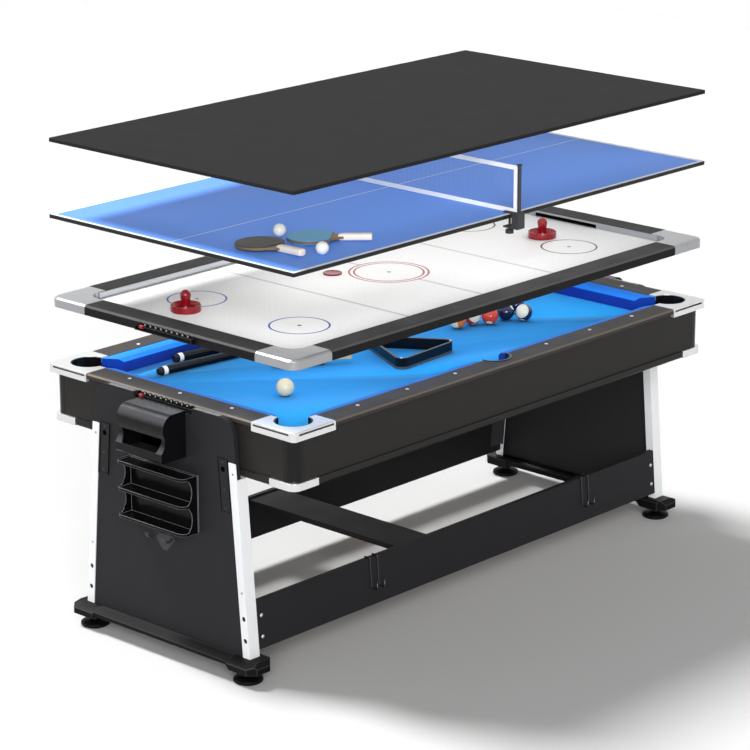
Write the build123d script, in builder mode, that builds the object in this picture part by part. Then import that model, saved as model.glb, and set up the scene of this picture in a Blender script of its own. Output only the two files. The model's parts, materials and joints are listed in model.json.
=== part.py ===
from build123d import *
from math import cos, hypot, radians, sin
import os

os.makedirs("parts", exist_ok=True)

# A table for four games: a pool table on two end frames, with an air hockey deck,
# a table tennis top and a dining top lifted off above it in the order they stack.
# X runs along the table, Y across it and Z up, from the floor under the centre.

# Driving dimensions in millimetres
table_length = 2000.0
table_width = 1080.0
table_height = 830.0
box_depth = 186.0
air_deck_level = 1048.0
tennis_top_level = 1311.0
dining_top_level = 1553.0
clearance = 0.3
overrun = 5.0
eighth_turn = 45.0
diagonal_share = sin(radians(eighth_turn))

half_length = table_length / 2
half_width = table_width / 2
box_bottom = table_height - box_depth
both_sides = (-1, 1)
corners = [(end, side) for end in both_sides for side in both_sides]

# Box: rails on boards, with a bed inside and a moulding below
rail_overhang = 12.0
rail_lip = 16.0
rail_bevel_width = 6.0
rail_bevel_height = 5.0
rail_width = 82.0
apron_thickness = 18.0
moulding_height = 24.0
moulding_width = 40.0
moulding_proud = 6.0
moulding_chamfer = 6.0
bed_drop = 60.0
bed_thickness = 15.0
cloth_thickness = 1.5
corner_post_size = 46.0
corner_post_radius = 34.0

apron_face_x = half_length - rail_overhang
apron_face_y = half_width - rail_overhang
apron_top = table_height - rail_lip
apron_bottom = box_bottom + moulding_height
apron_height = apron_top - apron_bottom
bed_top = table_height - bed_drop
inner_x = apron_face_x - apron_thickness
inner_y = apron_face_y - apron_thickness

# Pockets
casting_arm = 176.0
casting_proud = 2.0
casting_rise = 1.0
casting_radius = 14.0
casting_round = 3.0
casting_skirt = 12.0
casting_slot_height = 6.0
casting_slot_depth = 2.0
casting_slot_margin = 7.0
pocket_inset = 90.0
pocket_radius = 55.0
side_pocket_radius = 50.0
side_pocket_inset = 88.0
liner_wall = 4.0
liner_floor = 3.0
liner_depth = 82.0
corner_pocket = (half_length - pocket_inset, half_width - pocket_inset)
side_pocket_y = half_width - side_pocket_inset
corner_liner_radius = pocket_radius + liner_wall
side_liner_radius = side_pocket_radius + liner_wall
liner_bottom = bed_top - liner_depth
pocket_spots = [(end * corner_pocket[0], side * corner_pocket[1]) for end, side in corners]
side_spots = [(0, side * side_pocket_y) for side in both_sides]

# Aprons, the boards round the box
long_apron_length = 2 * (apron_face_x - corner_post_size)
end_apron_length = 2 * (apron_face_y - corner_post_size)
apron_centre_x = apron_face_x - apron_thickness / 2
apron_centre_y = apron_face_y - apron_thickness / 2

with BuildPart() as long_aprons:
    with BuildSketch(Plane.XY.offset(apron_bottom)):
        with Locations(*[(0, side * apron_centre_y) for side in both_sides]):
            Rectangle(long_apron_length, apron_thickness)
    extrude(amount=apron_height)
long_aprons.part.label = "long_aprons"
export_step(long_aprons.part, "parts/long_aprons.step")

with BuildPart() as end_aprons:
    with BuildSketch(Plane.XY.offset(apron_bottom)):
        with Locations(*[(end * apron_centre_x, 0) for end in both_sides]):
            Rectangle(apron_thickness, end_apron_length)
    extrude(amount=apron_height)
end_aprons.part.label = "end_aprons"
export_step(end_aprons.part, "parts/end_aprons.step")

# Corner posts, rounded columns that close the box under each casting
corner_post_x = apron_face_x - corner_post_size / 2
corner_post_y = apron_face_y - corner_post_size / 2


def outer_corner(sketch, reach_x, reach_y):
    """Returns the one corner of a sketch that lies past both reaches."""
    return [spot for spot in sketch.vertices() if spot.X > reach_x and spot.Y > reach_y]


with BuildPart() as corner_posts:
    with BuildSketch(Plane.XY.offset(apron_bottom)) as post_plan:
        with Locations((corner_post_x, corner_post_y)):
            Rectangle(corner_post_size, corner_post_size)
        fillet(outer_corner(post_plan, corner_post_x, corner_post_y), corner_post_radius)
        with Locations(corner_pocket):
            Circle(corner_liner_radius + clearance, mode=Mode.SUBTRACT)
    extrude(amount=apron_height)
    mirror(about=Plane.YZ)
    mirror(about=Plane.XZ)
corner_posts.part.label = "corner_posts"
export_step(corner_posts.part, "parts/corner_posts.step")

# Lower moulding and its silver corners
lower_arm = 104.0
lower_proud = 1.5
lower_radius = 30.0
moulding_face_x = apron_face_x + moulding_proud
moulding_face_y = apron_face_y + moulding_proud
moulding_inner_x = moulding_face_x - moulding_width
moulding_inner_y = moulding_face_y - moulding_width
long_moulding_half = moulding_face_x - lower_arm
end_moulding_half = moulding_face_y - lower_arm


def moulding_section(face, side):
    """Draws the moulding's section, with its outer lower edge bevelled."""
    inner = face - moulding_width
    Polygon(
        (side * inner, box_bottom),
        (side * (face - moulding_chamfer), box_bottom),
        (side * face, box_bottom + moulding_chamfer),
        (side * face, apron_bottom),
        (side * inner, apron_bottom),
        align=None,
    )


with BuildPart() as lower_mouldings:
    with BuildSketch(Plane.YZ):
        for side in both_sides:
            moulding_section(moulding_face_y, side)
    extrude(amount=long_moulding_half, both=True)
    with BuildSketch(Plane.XZ):
        for end in both_sides:
            moulding_section(moulding_face_x, end)
    extrude(amount=end_moulding_half, both=True)
lower_mouldings.part.label = "lower_mouldings"
export_step(lower_mouldings.part, "parts/lower_mouldings.step")

with BuildPart() as lower_corners:
    with BuildSketch(Plane.XY.offset(box_bottom)) as lower_plan:
        with Locations((moulding_face_x + lower_proud, moulding_face_y + lower_proud)):
            Rectangle(lower_arm + lower_proud, lower_arm + lower_proud, align=(Align.MAX, Align.MAX))
        with Locations((moulding_inner_x, moulding_inner_y)):
            Rectangle(lower_arm, lower_arm, align=(Align.MAX, Align.MAX), mode=Mode.SUBTRACT)
        fillet(outer_corner(lower_plan, apron_face_x, apron_face_y), lower_radius)
    extrude(amount=moulding_height)
    mirror(about=Plane.YZ)
    mirror(about=Plane.XZ)
lower_corners.part.label = "lower_corners"
export_step(lower_corners.part, "parts/lower_corners.step")

# Underside panel, which closes the box between the mouldings
underside_thickness = 6.0
underside_inset = 6.0
with BuildPart() as underside_panel:
    with BuildSketch(Plane.XY.offset(box_bottom + underside_inset)):
        Rectangle(2 * moulding_inner_x, 2 * moulding_inner_y)
    extrude(amount=underside_thickness)
underside_panel.part.label = "underside_panel"
export_step(underside_panel.part, "parts/underside_panel.step")


# Bed and cloth, cut round the six pockets
def bed_plan():
    """Draws a sheet that fills the box, with a hole for each pocket's liner."""
    Rectangle(2 * inner_x, 2 * inner_y)
    with Locations(*[(end * inner_x, side * inner_y) for end, side in corners]):
        Rectangle(corner_notch, corner_notch, mode=Mode.SUBTRACT)
    with Locations(*pocket_spots):
        Circle(corner_liner_radius + clearance, mode=Mode.SUBTRACT)
    with Locations(*side_spots):
        Circle(side_liner_radius + clearance, mode=Mode.SUBTRACT)


corner_notch = 2 * (inner_x - corner_pocket[0])
bed_bottom = bed_top - cloth_thickness - bed_thickness
with BuildPart() as pool_bed:
    with BuildSketch(Plane.XY.offset(bed_bottom)):
        bed_plan()
    extrude(amount=bed_thickness)
pool_bed.part.label = "pool_bed"
export_step(pool_bed.part, "parts/pool_bed.step")

with BuildPart() as pool_cloth:
    with BuildSketch(Plane.XY.offset(bed_top - cloth_thickness)):
        bed_plan()
    extrude(amount=cloth_thickness)
pool_cloth.part.label = "pool_cloth"
export_step(pool_cloth.part, "parts/pool_cloth.step")

# Rails, each a board with a lip over the apron and a bevelled outer edge
long_rail_half = half_length - casting_arm
end_rail_half = half_width - casting_arm


def rail_section(face, side):
    """Draws a rail's section, from its lip over the apron to the cushion's back."""
    inner = face - rail_width
    seat = face - rail_overhang - apron_thickness
    Polygon(
        (side * face, apron_top),
        (side * face, table_height - rail_bevel_height),
        (side * (face - rail_bevel_width), table_height),
        (side * inner, table_height),
        (side * inner, bed_top),
        (side * seat, bed_top),
        (side * seat, apron_top),
        align=None,
    )


with BuildPart() as long_rails:
    with BuildSketch(Plane.YZ):
        for side in both_sides:
            rail_section(half_width, side)
    extrude(amount=long_rail_half, both=True)
    with BuildSketch(Plane.XY.offset(bed_top)):
        with Locations(*side_spots):
            Circle(side_liner_radius + clearance)
    extrude(amount=bed_drop, mode=Mode.SUBTRACT)
long_rails.part.label = "long_rails"
export_step(long_rails.part, "parts/long_rails.step")

with BuildPart() as end_rails:
    with BuildSketch(Plane.XZ):
        for end in both_sides:
            rail_section(half_length, end)
    extrude(amount=end_rail_half, both=True)
end_rails.part.label = "end_rails"
export_step(end_rails.part, "parts/end_rails.step")

# Cushions, six rubber bars with a nose, cut back at the pocket jaws
cushion_width = 45.0
cushion_top_drop = 2.0
cushion_brow_drop = 7.0
cushion_nose_top_drop = 18.0
cushion_nose_low_drop = 29.0
cushion_brow_share = 0.72
cushion_foot_share = 0.66
corner_jaw_run = 56.0
side_jaw_run = 12.0
side_jaw_gap = 56.0
jaw_reach_share = 1.3
long_back = half_width - rail_width
end_back = half_length - rail_width
long_cushion_half = corner_pocket[0] - corner_liner_radius - clearance
end_cushion_half = corner_pocket[1] - corner_liner_radius - clearance


def cushion_section(back, side):
    """Draws a cushion's section from its back at the rail to its nose."""
    nose = back - cushion_width
    brow = back - cushion_width * cushion_brow_share
    foot = back - cushion_width * cushion_foot_share
    Polygon(
        (side * back, bed_top),
        (side * back, table_height - cushion_top_drop),
        (side * brow, table_height - cushion_brow_drop),
        (side * nose, table_height - cushion_nose_top_drop),
        (side * nose, table_height - cushion_nose_low_drop),
        (side * foot, bed_top),
        align=None,
    )


def jaw_cut(start, towards, back, inward, run, along_x):
    """Draws the plan of what a pocket jaw takes off a cushion's end."""
    reach = cushion_width * jaw_reach_share
    slip = run * jaw_reach_share
    spots = [
        (start, back + inward * -overrun),
        (start + towards * overrun, back + inward * -overrun),
        (start + towards * overrun, back + inward * reach),
        (start - towards * slip, back + inward * reach),
        (start, back),
    ]
    if not along_x:
        spots = [(across, along) for along, across in spots]
    Polygon(*spots, align=None)


with BuildPart() as cushions:
    with BuildSketch(Plane.YZ):
        for side in both_sides:
            cushion_section(long_back, side)
    extrude(amount=long_cushion_half, both=True)
    with BuildSketch(Plane.XZ):
        for end in both_sides:
            cushion_section(end_back, end)
    extrude(amount=end_cushion_half, both=True)
    with BuildSketch(Plane.XY.offset(bed_top)):
        Rectangle(2 * side_jaw_gap, 2 * long_back)
    extrude(amount=bed_drop, mode=Mode.SUBTRACT)
    with BuildSketch(Plane.XY.offset(bed_top)):
        for end, side in corners:
            jaw_cut(end * long_cushion_half, end, side * long_back, -side, corner_jaw_run, True)
            jaw_cut(end * side_jaw_gap, -end, side * long_back, -side, side_jaw_run, True)
            jaw_cut(side * end_cushion_half, side, end * end_back, -end, corner_jaw_run, False)
    extrude(amount=bed_drop, mode=Mode.SUBTRACT)
cushions.part.label = "cushions"
export_step(cushions.part, "parts/cushions.step")

# Corner castings, chromed caps with a skirt, a pocket edge and a slot on each face
casting_face_x = half_length + casting_proud
casting_face_y = half_width + casting_proud
casting_size = casting_arm + casting_proud
casting_height = rail_lip + casting_rise
slot_level = table_height - rail_bevel_height - casting_slot_height / 2
slot_length = casting_arm - casting_radius - 2 * casting_slot_margin
slot_centre = casting_size - casting_slot_margin - slot_length / 2


def casting_outline(plan):
    """Draws the square of a casting with its outer corner rounded."""
    with Locations((casting_face_x, casting_face_y)):
        Rectangle(casting_size, casting_size, align=(Align.MAX, Align.MAX))
    fillet(outer_corner(plan, apron_face_x, apron_face_y), casting_radius)


def outer_rims(casting):
    """Returns the top edges of a casting that run along its two outer faces."""
    reach_x = casting_face_x - casting_radius
    reach_y = casting_face_y - casting_radius
    tops = casting.edges().group_by(Axis.Z)[-1]
    return [rim for rim in tops if rim.center().X > reach_x or rim.center().Y > reach_y]


with BuildPart() as corner_castings:
    with BuildSketch(Plane.XY.offset(apron_top)) as cap_plan:
        casting_outline(cap_plan)
        with Locations((end_back, long_back)):
            Rectangle(casting_arm, casting_arm, align=(Align.MAX, Align.MAX), mode=Mode.SUBTRACT)
        with Locations(corner_pocket):
            Circle(corner_liner_radius + clearance, mode=Mode.SUBTRACT)
    extrude(amount=casting_height)
    fillet(outer_rims(corner_castings), casting_round)
    with BuildSketch(Plane.XY.offset(apron_top - casting_skirt)) as skirt_plan:
        casting_outline(skirt_plan)
        with Locations((apron_face_x - corner_post_radius, apron_face_y - corner_post_radius)):
            Circle(corner_post_radius, mode=Mode.SUBTRACT)
        with Locations((apron_face_x, apron_face_y - corner_post_radius)):
            Rectangle(casting_size, casting_size, align=(Align.MAX, Align.MAX), mode=Mode.SUBTRACT)
        with Locations((apron_face_x - corner_post_radius, apron_face_y)):
            Rectangle(casting_size, casting_size, align=(Align.MAX, Align.MAX), mode=Mode.SUBTRACT)
    extrude(amount=casting_skirt)
    with BuildSketch(Plane.XY.offset(slot_level - casting_slot_height / 2)):
        with Locations((casting_face_x, casting_face_y - slot_centre)):
            Rectangle(2 * casting_slot_depth, slot_length)
        with Locations((casting_face_x - slot_centre, casting_face_y)):
            Rectangle(slot_length, 2 * casting_slot_depth)
    extrude(amount=casting_slot_height, mode=Mode.SUBTRACT)
    mirror(about=Plane.YZ)
    mirror(about=Plane.XZ)
corner_castings.part.label = "corner_castings"
export_step(corner_castings.part, "parts/corner_castings.step")

# Pocket liners, black cups open towards the bed above the cloth
with BuildPart() as pocket_liners:
    with BuildSketch(Plane.XY.offset(liner_bottom)):
        with Locations(*pocket_spots):
            Circle(corner_liner_radius)
        with Locations(*side_spots):
            Circle(side_liner_radius)
    extrude(amount=table_height - liner_bottom)
    with BuildSketch(Plane.XY.offset(liner_bottom + liner_floor)):
        with Locations(*pocket_spots):
            Circle(pocket_radius)
        with Locations(*side_spots):
            Circle(side_pocket_radius)
    extrude(amount=table_height - liner_bottom, mode=Mode.SUBTRACT)
    with BuildSketch(Plane.XY.offset(bed_top)):
        Rectangle(2 * corner_pocket[0], 2 * long_back)
        Rectangle(2 * end_back, 2 * corner_pocket[1])
    extrude(amount=bed_drop, mode=Mode.SUBTRACT)
pocket_liners.part.label = "pocket_liners"
export_step(pocket_liners.part, "parts/pocket_liners.step")

# Rail sights, white dots let into the rails
sight_radius = 6.0
sight_rise = 0.6
sight_inset = 56.0
long_sight_share = 0.27
end_sight_share = 0.62
long_sights_each_way = 3
end_sights_each_way = 1
long_sight_pitch = long_rail_half * long_sight_share
end_sight_pitch = end_rail_half * end_sight_share
with BuildPart() as rail_sights:
    with BuildSketch(Plane.XY.offset(table_height)):
        for end, side in corners:
            for step in range(1, long_sights_each_way + 1):
                with Locations((end * step * long_sight_pitch, side * (half_width - sight_inset))):
                    Circle(sight_radius)
        for end in both_sides:
            for row in range(-end_sights_each_way, end_sights_each_way + 1):
                with Locations((end * (half_length - sight_inset), row * end_sight_pitch)):
                    Circle(sight_radius)
    extrude(amount=sight_rise)
rail_sights.part.label = "rail_sights"
export_step(rail_sights.part, "parts/rail_sights.step")

# End frames: a flared panel in two channel posts on a foot bar
panel_gap = 1.0
panel_thickness = 18.0
panel_top_drop = 5.0
panel_corner_radius = 55.0
post_metal = 3.0
post_face = 30.0
post_depth = 42.0
post_foot_half = 366.0
post_flare = 50.0
post_rise = 46.0
post_web_gap = 4.0
bar_top = 78.0
bar_bottom = 54.0
panel_inner_x = half_length + panel_gap
panel_outer_x = panel_inner_x + panel_thickness
post_outer_x = panel_outer_x + post_metal
post_inner_x = post_outer_x - post_depth
post_top = box_bottom + post_rise
post_web_top = box_bottom - post_web_gap
flare_slope = post_flare / (post_top - bar_top)
flare_run = hypot(1, flare_slope)
panel_top = table_height - panel_top_drop


def post_edge(level):
    """Returns how far the post's outer face stands from the middle at a level."""
    return post_foot_half - flare_slope * (level - bar_top)


def panel_edge(level):
    """Returns half the panel's width at a level, inside the post's metal."""
    return post_edge(level) - post_metal


def lean(height):
    """Returns the length and the direction of an extrusion that leans in with the posts."""
    return {"amount": height * flare_run, "dir": (0, -flare_slope, 1)}


scorer_length = 250.0
scorer_notch_gap = 3.0
scorer_notch_depth = 19.0
with BuildPart() as end_panels:
    with BuildSketch(Plane.YZ.offset(panel_inner_x)) as panel_plan:
        Polygon(
            (-panel_edge(bar_top), bar_top),
            (panel_edge(bar_top), bar_top),
            (panel_edge(panel_top), panel_top),
            (-panel_edge(panel_top), panel_top),
            align=None,
        )
        fillet(panel_plan.vertices().group_by(Axis.Y)[-1], panel_corner_radius)
        with Locations((0, panel_top)):
            Rectangle(scorer_length + 2 * scorer_notch_gap, 2 * scorer_notch_depth, mode=Mode.SUBTRACT)
    extrude(amount=panel_thickness)
    mirror(about=Plane.YZ)
end_panels.part.label = "end_panels"
export_step(end_panels.part, "parts/end_panels.step")

# Channel posts, with holes in the face that shows at the table's end
hole_small = 4.0
hole_large = 8.0
small_hole_rise = 12.0
small_hole_levels = (box_bottom + small_hole_rise, 285.0)
large_hole_levels = (203.0, 133.0)


post_y = post_edge(bar_top)
post_back_y = post_y - post_face
web_edge = post_edge(post_web_top)
with BuildPart() as leg_posts:
    with BuildSketch(Plane.XY.offset(bar_top)):
        Polygon(
            (post_outer_x, post_back_y),
            (post_outer_x, post_y),
            (post_inner_x, post_y),
            (post_inner_x, post_back_y),
            (post_inner_x + post_metal, post_back_y),
            (post_inner_x + post_metal, post_y - post_metal),
            (panel_outer_x, post_y - post_metal),
            (panel_outer_x, post_back_y),
            align=None,
        )
    extrude(**lean(post_web_top - bar_top))
    with BuildSketch(Plane.XY.offset(post_web_top)):
        with Locations((post_outer_x, web_edge)):
            Rectangle(post_metal, post_face, align=(Align.MAX, Align.MAX))
    extrude(**lean(post_top - post_web_top))
    for levels, radius in ((small_hole_levels, hole_small), (large_hole_levels, hole_large)):
        with BuildSketch(Plane.YZ.offset(panel_outer_x)):
            with Locations(*[(post_edge(level) - post_face / 2, level) for level in levels]):
                Circle(radius)
        extrude(amount=post_metal, mode=Mode.SUBTRACT)
    mirror(about=Plane.YZ)
    mirror(about=Plane.XZ)
leg_posts.part.label = "leg_posts"
export_step(leg_posts.part, "parts/leg_posts.step")

# Foot bars and the hipped caps on their ends, each with a boss for its foot
bar_centre_x = 1010.0
bar_half = 48.0
bar_slope_low = 66.0
bar_inner_drop = 6.0
bar_groove_width = 4.0
bar_groove_depth = 2.0
cap_start = 300.0
cap_end = 412.0
cap_half = 52.0
cap_bottom = 42.0
cap_chamfer = 24.0
cap_slope_low = 62.0
cap_hip = 14.0
foot_y = 345.0
boss_half = 24.0
boss_bottom = 28.0
boss_chamfer = 5.0
cap_step = bar_bottom - cap_bottom
bar_flat_outer = post_outer_x + post_metal
bar_outer_x = bar_centre_x + bar_half
bar_inner_x = bar_centre_x - bar_half


def bar_section(inner, outer, bottom, slope_low, end):
    """Draws a foot bar's section, flat under the posts and sloped to the outside."""
    Polygon(
        (end * inner, bottom),
        (end * outer, bottom),
        (end * outer, slope_low),
        (end * bar_flat_outer, bar_top),
        (end * (inner + bar_inner_drop), bar_top),
        (end * inner, bar_top - bar_inner_drop),
        align=None,
    )


with BuildPart() as foot_bars:
    with BuildSketch(Plane.XZ):
        for end in both_sides:
            bar_section(bar_inner_x, bar_outer_x, bar_bottom, bar_slope_low, end)
    extrude(amount=cap_start, both=True)
    with BuildSketch(Plane.XY.offset(bar_top - bar_groove_depth)):
        with Locations(*[(end * (bar_flat_outer - bar_groove_width / 2), 0) for end in both_sides]):
            Rectangle(bar_groove_width, 2 * cap_start)
    extrude(amount=2 * bar_groove_depth, mode=Mode.SUBTRACT)
foot_bars.part.label = "foot_bars"
export_step(foot_bars.part, "parts/foot_bars.step")

stem_radius = 5.0
stem_top = 62.0
stem_play = 3.0
stem_hole_top = stem_top + stem_play
with BuildPart() as foot_bar_caps:
    with BuildSketch(Plane.XZ.offset(-cap_start)):
        bar_section(bar_centre_x - cap_half, bar_centre_x + cap_half, cap_bottom, cap_slope_low, 1)
    extrude(amount=-(cap_end - cap_start))
    with BuildSketch():
        Polygon(
            (bar_centre_x - cap_half, 0),
            (bar_centre_x + cap_half, 0),
            (bar_centre_x + cap_half, cap_end - cap_chamfer),
            (bar_centre_x + cap_half - cap_chamfer, cap_end),
            (bar_centre_x - cap_half + cap_chamfer, cap_end),
            (bar_centre_x - cap_half, cap_end - cap_chamfer),
            align=None,
        )
    extrude(amount=bar_top, mode=Mode.INTERSECT)
    with BuildSketch(Plane.YZ):
        Polygon(
            (cap_start + cap_step, cap_bottom),
            (cap_end, cap_bottom),
            (cap_end, cap_slope_low),
            (cap_end - cap_hip, bar_top),
            (cap_start, bar_top),
            (cap_start, bar_bottom),
            align=None,
        )
    extrude(amount=bar_centre_x + cap_half, mode=Mode.INTERSECT)
    with BuildSketch(Plane.XY.offset(boss_bottom)) as boss:
        with Locations((bar_centre_x, foot_y)):
            Rectangle(2 * boss_half, 2 * boss_half)
        chamfer(boss.vertices(), boss_chamfer)
    extrude(amount=cap_bottom - boss_bottom)
    with BuildSketch(Plane.XY.offset(boss_bottom)):
        with Locations((bar_centre_x, foot_y)):
            Circle(stem_radius + clearance)
    extrude(amount=stem_hole_top - boss_bottom, mode=Mode.SUBTRACT)
    mirror(about=Plane.YZ)
    mirror(about=Plane.XZ)
foot_bar_caps.part.label = "foot_bar_caps"
export_step(foot_bar_caps.part, "parts/foot_bar_caps.step")

# Levelling feet, turned discs on threaded stems
foot_radius = 46.0
foot_sole_radius = 41.0
foot_rim_low = 5.0
foot_rim_high = 12.0
foot_shoulder_radius = 37.0
foot_shoulder = 18.0
foot_neck_radius = 14.0
foot_neck_low = 21.0
for end, place in zip(both_sides, ("near", "far")):
    for side, flank in zip(both_sides, ("front", "back")):
        spot = (end * bar_centre_x, side * foot_y, 0)
        with BuildPart() as levelling_foot:
            with BuildSketch(Plane(origin=spot, x_dir=(1, 0, 0), z_dir=(0, -1, 0))):
                with BuildLine():
                    Polyline(
                        (0, 0),
                        (foot_sole_radius, 0),
                        (foot_radius, foot_rim_low),
                        (foot_radius, foot_rim_high),
                        (foot_shoulder_radius, foot_shoulder),
                        (foot_neck_radius, foot_neck_low),
                        (foot_neck_radius, boss_bottom - clearance),
                        (stem_radius, boss_bottom - clearance),
                        (stem_radius, stem_top),
                        (0, stem_top),
                        close=True,
                    )
                make_face()
            revolve(axis=Axis(spot, (0, 0, 1)))
        levelling_foot.part.label = f"levelling_foot_{place}_{flank}"
        export_step(levelling_foot.part, f"parts/levelling_foot_{place}_{flank}.step")

# Stretchers, two leaning boards between the end frames with angles behind
stretcher_thickness = 18.0
stretcher_bottom = 98.0
stretcher_top = 252.0
angle_length = 58.0
angle_metal = 3.0
angle_margin = 25.0
stretcher_height = stretcher_top - stretcher_bottom


with BuildPart() as stretchers:
    with BuildSketch(Plane.XY.offset(stretcher_bottom)):
        with Locations((0, post_edge(stretcher_bottom))):
            Rectangle(2 * post_inner_x, stretcher_thickness, align=(Align.CENTER, Align.MAX))
    extrude(**lean(stretcher_height))
    mirror(about=Plane.XZ)
stretchers.part.label = "stretchers"
export_step(stretchers.part, "parts/stretchers.step")

angle_bottom = stretcher_bottom + angle_margin
angle_back = post_edge(angle_bottom) - stretcher_thickness
angle_tip = post_edge(angle_bottom) - post_face
with BuildPart() as stretcher_brackets:
    with BuildSketch(Plane.XY.offset(angle_bottom)):
        Polygon(
            (post_inner_x, angle_back),
            (post_inner_x - angle_length, angle_back),
            (post_inner_x - angle_length, angle_back - angle_metal),
            (post_inner_x - angle_metal, angle_back - angle_metal),
            (post_inner_x - angle_metal, angle_tip),
            (post_inner_x, angle_tip),
            align=None,
        )
    extrude(**lean(stretcher_height - 2 * angle_margin))
    mirror(about=Plane.YZ)
    mirror(about=Plane.XZ)
stretcher_brackets.part.label = "stretcher_brackets"
export_step(stretcher_brackets.part, "parts/stretcher_brackets.step")

# Cross stretcher, a flat board between the two stretchers
cross_x = -250.0
cross_width = 150.0
cross_thickness = 18.0
cross_drop = 6.0
cross_top = stretcher_top - cross_drop
cross_bottom = cross_top - cross_thickness
with BuildPart() as cross_stretcher:
    with BuildSketch(Plane.YZ.offset(cross_x)):
        with BuildLine():
            Polyline(
                (-(post_edge(cross_bottom) - stretcher_thickness), cross_bottom),
                (post_edge(cross_bottom) - stretcher_thickness, cross_bottom),
                (post_edge(cross_top) - stretcher_thickness, cross_top),
                (-(post_edge(cross_top) - stretcher_thickness), cross_top),
                close=True,
            )
        make_face()
    extrude(amount=cross_width / 2, both=True)
cross_stretcher.part.label = "cross_stretcher"
export_step(cross_stretcher.part, "parts/cross_stretcher.step")

# Frame bolts, domed heads on the stretchers' outer faces
bolt_radius = 6.5
bolt_rim = 1.5
bolt_dome = 3.5
bolt_crown_share = 0.4
bolt_inset = 19.0
bolt_height_shares = (0.24, 0.68)
bolt_levels = [stretcher_bottom + stretcher_height * share for share in bolt_height_shares]
with BuildPart() as frame_bolts:
    for level in bolt_levels:
        head_plane = Plane(
            origin=(post_inner_x - bolt_inset, post_edge(level), level),
            x_dir=(1, 0, 0),
            z_dir=(0, 1, flare_slope),
        )
        with BuildSketch(head_plane):
            Circle(bolt_radius)
        extrude(amount=bolt_rim)
        with BuildSketch(head_plane.offset(bolt_rim)):
            Circle(bolt_radius)
        with BuildSketch(head_plane.offset(bolt_dome)):
            Circle(bolt_radius * bolt_crown_share)
        loft()
    mirror(about=Plane.YZ)
    mirror(about=Plane.XZ)
frame_bolts.part.label = "frame_bolts"
export_step(frame_bolts.part, "parts/frame_bolts.step")

# Mounting cleats, boards that carry the box on the end panels
cleat_half = 262.0
cleat_bottom = apron_bottom + moulding_height / 2
cleat_top = apron_top - rail_lip
with BuildPart() as mounting_cleats:
    with BuildSketch(Plane.YZ.offset(apron_face_x)):
        with Locations((0, (cleat_bottom + cleat_top) / 2)):
            Rectangle(2 * cleat_half, cleat_top - cleat_bottom)
    extrude(amount=panel_inner_x - apron_face_x)
    mirror(about=Plane.YZ)
mounting_cleats.part.label = "mounting_cleats"
export_step(mounting_cleats.part, "parts/mounting_cleats.step")

# Goal boxes, moulded hoods with a rolled top, a drawn-in throat and a lip that runs out below
hood_half = 102.0
hood_rise = 22.0
hood_drop = 12.0
hood_wall = 4.0
hood_flat = 52.0
hood_roll = 43.0
hood_belly_drop = 17.0
hood_belly_inset = 2.0
hood_throat = 88.0
hood_throat_rise = 74.0
hood_scoop_rise = 16.0
hood_scoop_inset = 4.0
hood_lip_depth = 103.0
hood_lip_height = 30.0
hood_lip_round = 6.0
hood_jamb_high = 12.0
hood_jamb_low = 26.0
mouth_round = 5.0
hood_bottom = box_bottom + hood_rise
hood_top = panel_top - hood_drop
hood_brow = hood_top - hood_roll
hood_lip_top = hood_bottom + hood_lip_height
hood_waist = hood_bottom + hood_throat_rise


def hood_section(wall):
    """Returns the hood's side view, drawn in by a wall for its inside."""
    base = panel_outer_x
    bottom = hood_bottom + wall
    lip = base + hood_lip_depth - wall
    throat = base + hood_throat - wall
    flat_end = base + hood_flat
    brow = flat_end + hood_roll - wall
    round_mid = (hood_roll - wall) * diagonal_share
    with BuildSketch() as section:
        with BuildLine():
            Line((base, bottom), (lip - hood_lip_round, bottom))
            Line((lip - hood_lip_round, bottom), (lip, bottom + hood_lip_round))
            Line((lip, bottom + hood_lip_round), (lip, hood_lip_top))
            ThreePointArc(
                (lip, hood_lip_top),
                (throat + hood_scoop_inset, hood_lip_top + hood_scoop_rise),
                (throat, hood_waist),
            )
            ThreePointArc(
                (throat, hood_waist),
                (brow - hood_belly_inset, hood_brow - hood_belly_drop),
                (brow, hood_brow),
            )
            ThreePointArc(
                (brow, hood_brow),
                (flat_end + round_mid, hood_brow + round_mid),
                (flat_end, hood_top - wall),
            )
            Line((flat_end, hood_top - wall), (base, hood_top - wall))
            Line((base, hood_top - wall), (base, bottom))
        make_face()
    return section.sketch


with BuildPart() as goal_boxes:
    with BuildSketch(Plane.XZ):
        add(hood_section(0))
    extrude(amount=hood_half, both=True)
    with BuildSketch(Plane.XZ):
        add(hood_section(hood_wall))
    extrude(amount=hood_half - hood_wall, both=True, mode=Mode.SUBTRACT)
    with BuildSketch(Plane.YZ.offset(panel_outer_x + hood_wall)) as mouth:
        Polygon(
            (hood_jamb_low - hood_half, hood_lip_top),
            (hood_half - hood_jamb_low, hood_lip_top),
            (hood_half - hood_jamb_high, hood_waist),
            (hood_jamb_high - hood_half, hood_waist),
            align=None,
        )
        fillet(mouth.vertices(), mouth_round)
    extrude(amount=hood_lip_depth, mode=Mode.SUBTRACT)
    mirror(about=Plane.YZ)
goal_boxes.part.label = "goal_boxes"
export_step(goal_boxes.part, "parts/goal_boxes.step")

# Accessory rack at the near end: three trays on a back plate with scooped sides
rack_half = 150.0
rack_depth = 66.0
rack_corner = 24.0
rack_wall = 4.0
rack_rim = 9.0
rack_back = 3.0
rack_back_margin = 4.0
rack_back_corner = 18.0
rack_gap = 48.0
rack_pitch = 88.0
rack_tiers = 3
rack_scoop = 16.0
rack_top_level = hood_bottom - rack_gap
rack_levels = [rack_top_level - tier * rack_pitch for tier in range(rack_tiers)]
rack_low = rack_levels[-1] - rack_rim - rack_back_margin
rack_mid = (rack_top_level + rack_low) / 2
straight = panel_outer_x + rack_depth - rack_corner


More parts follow.
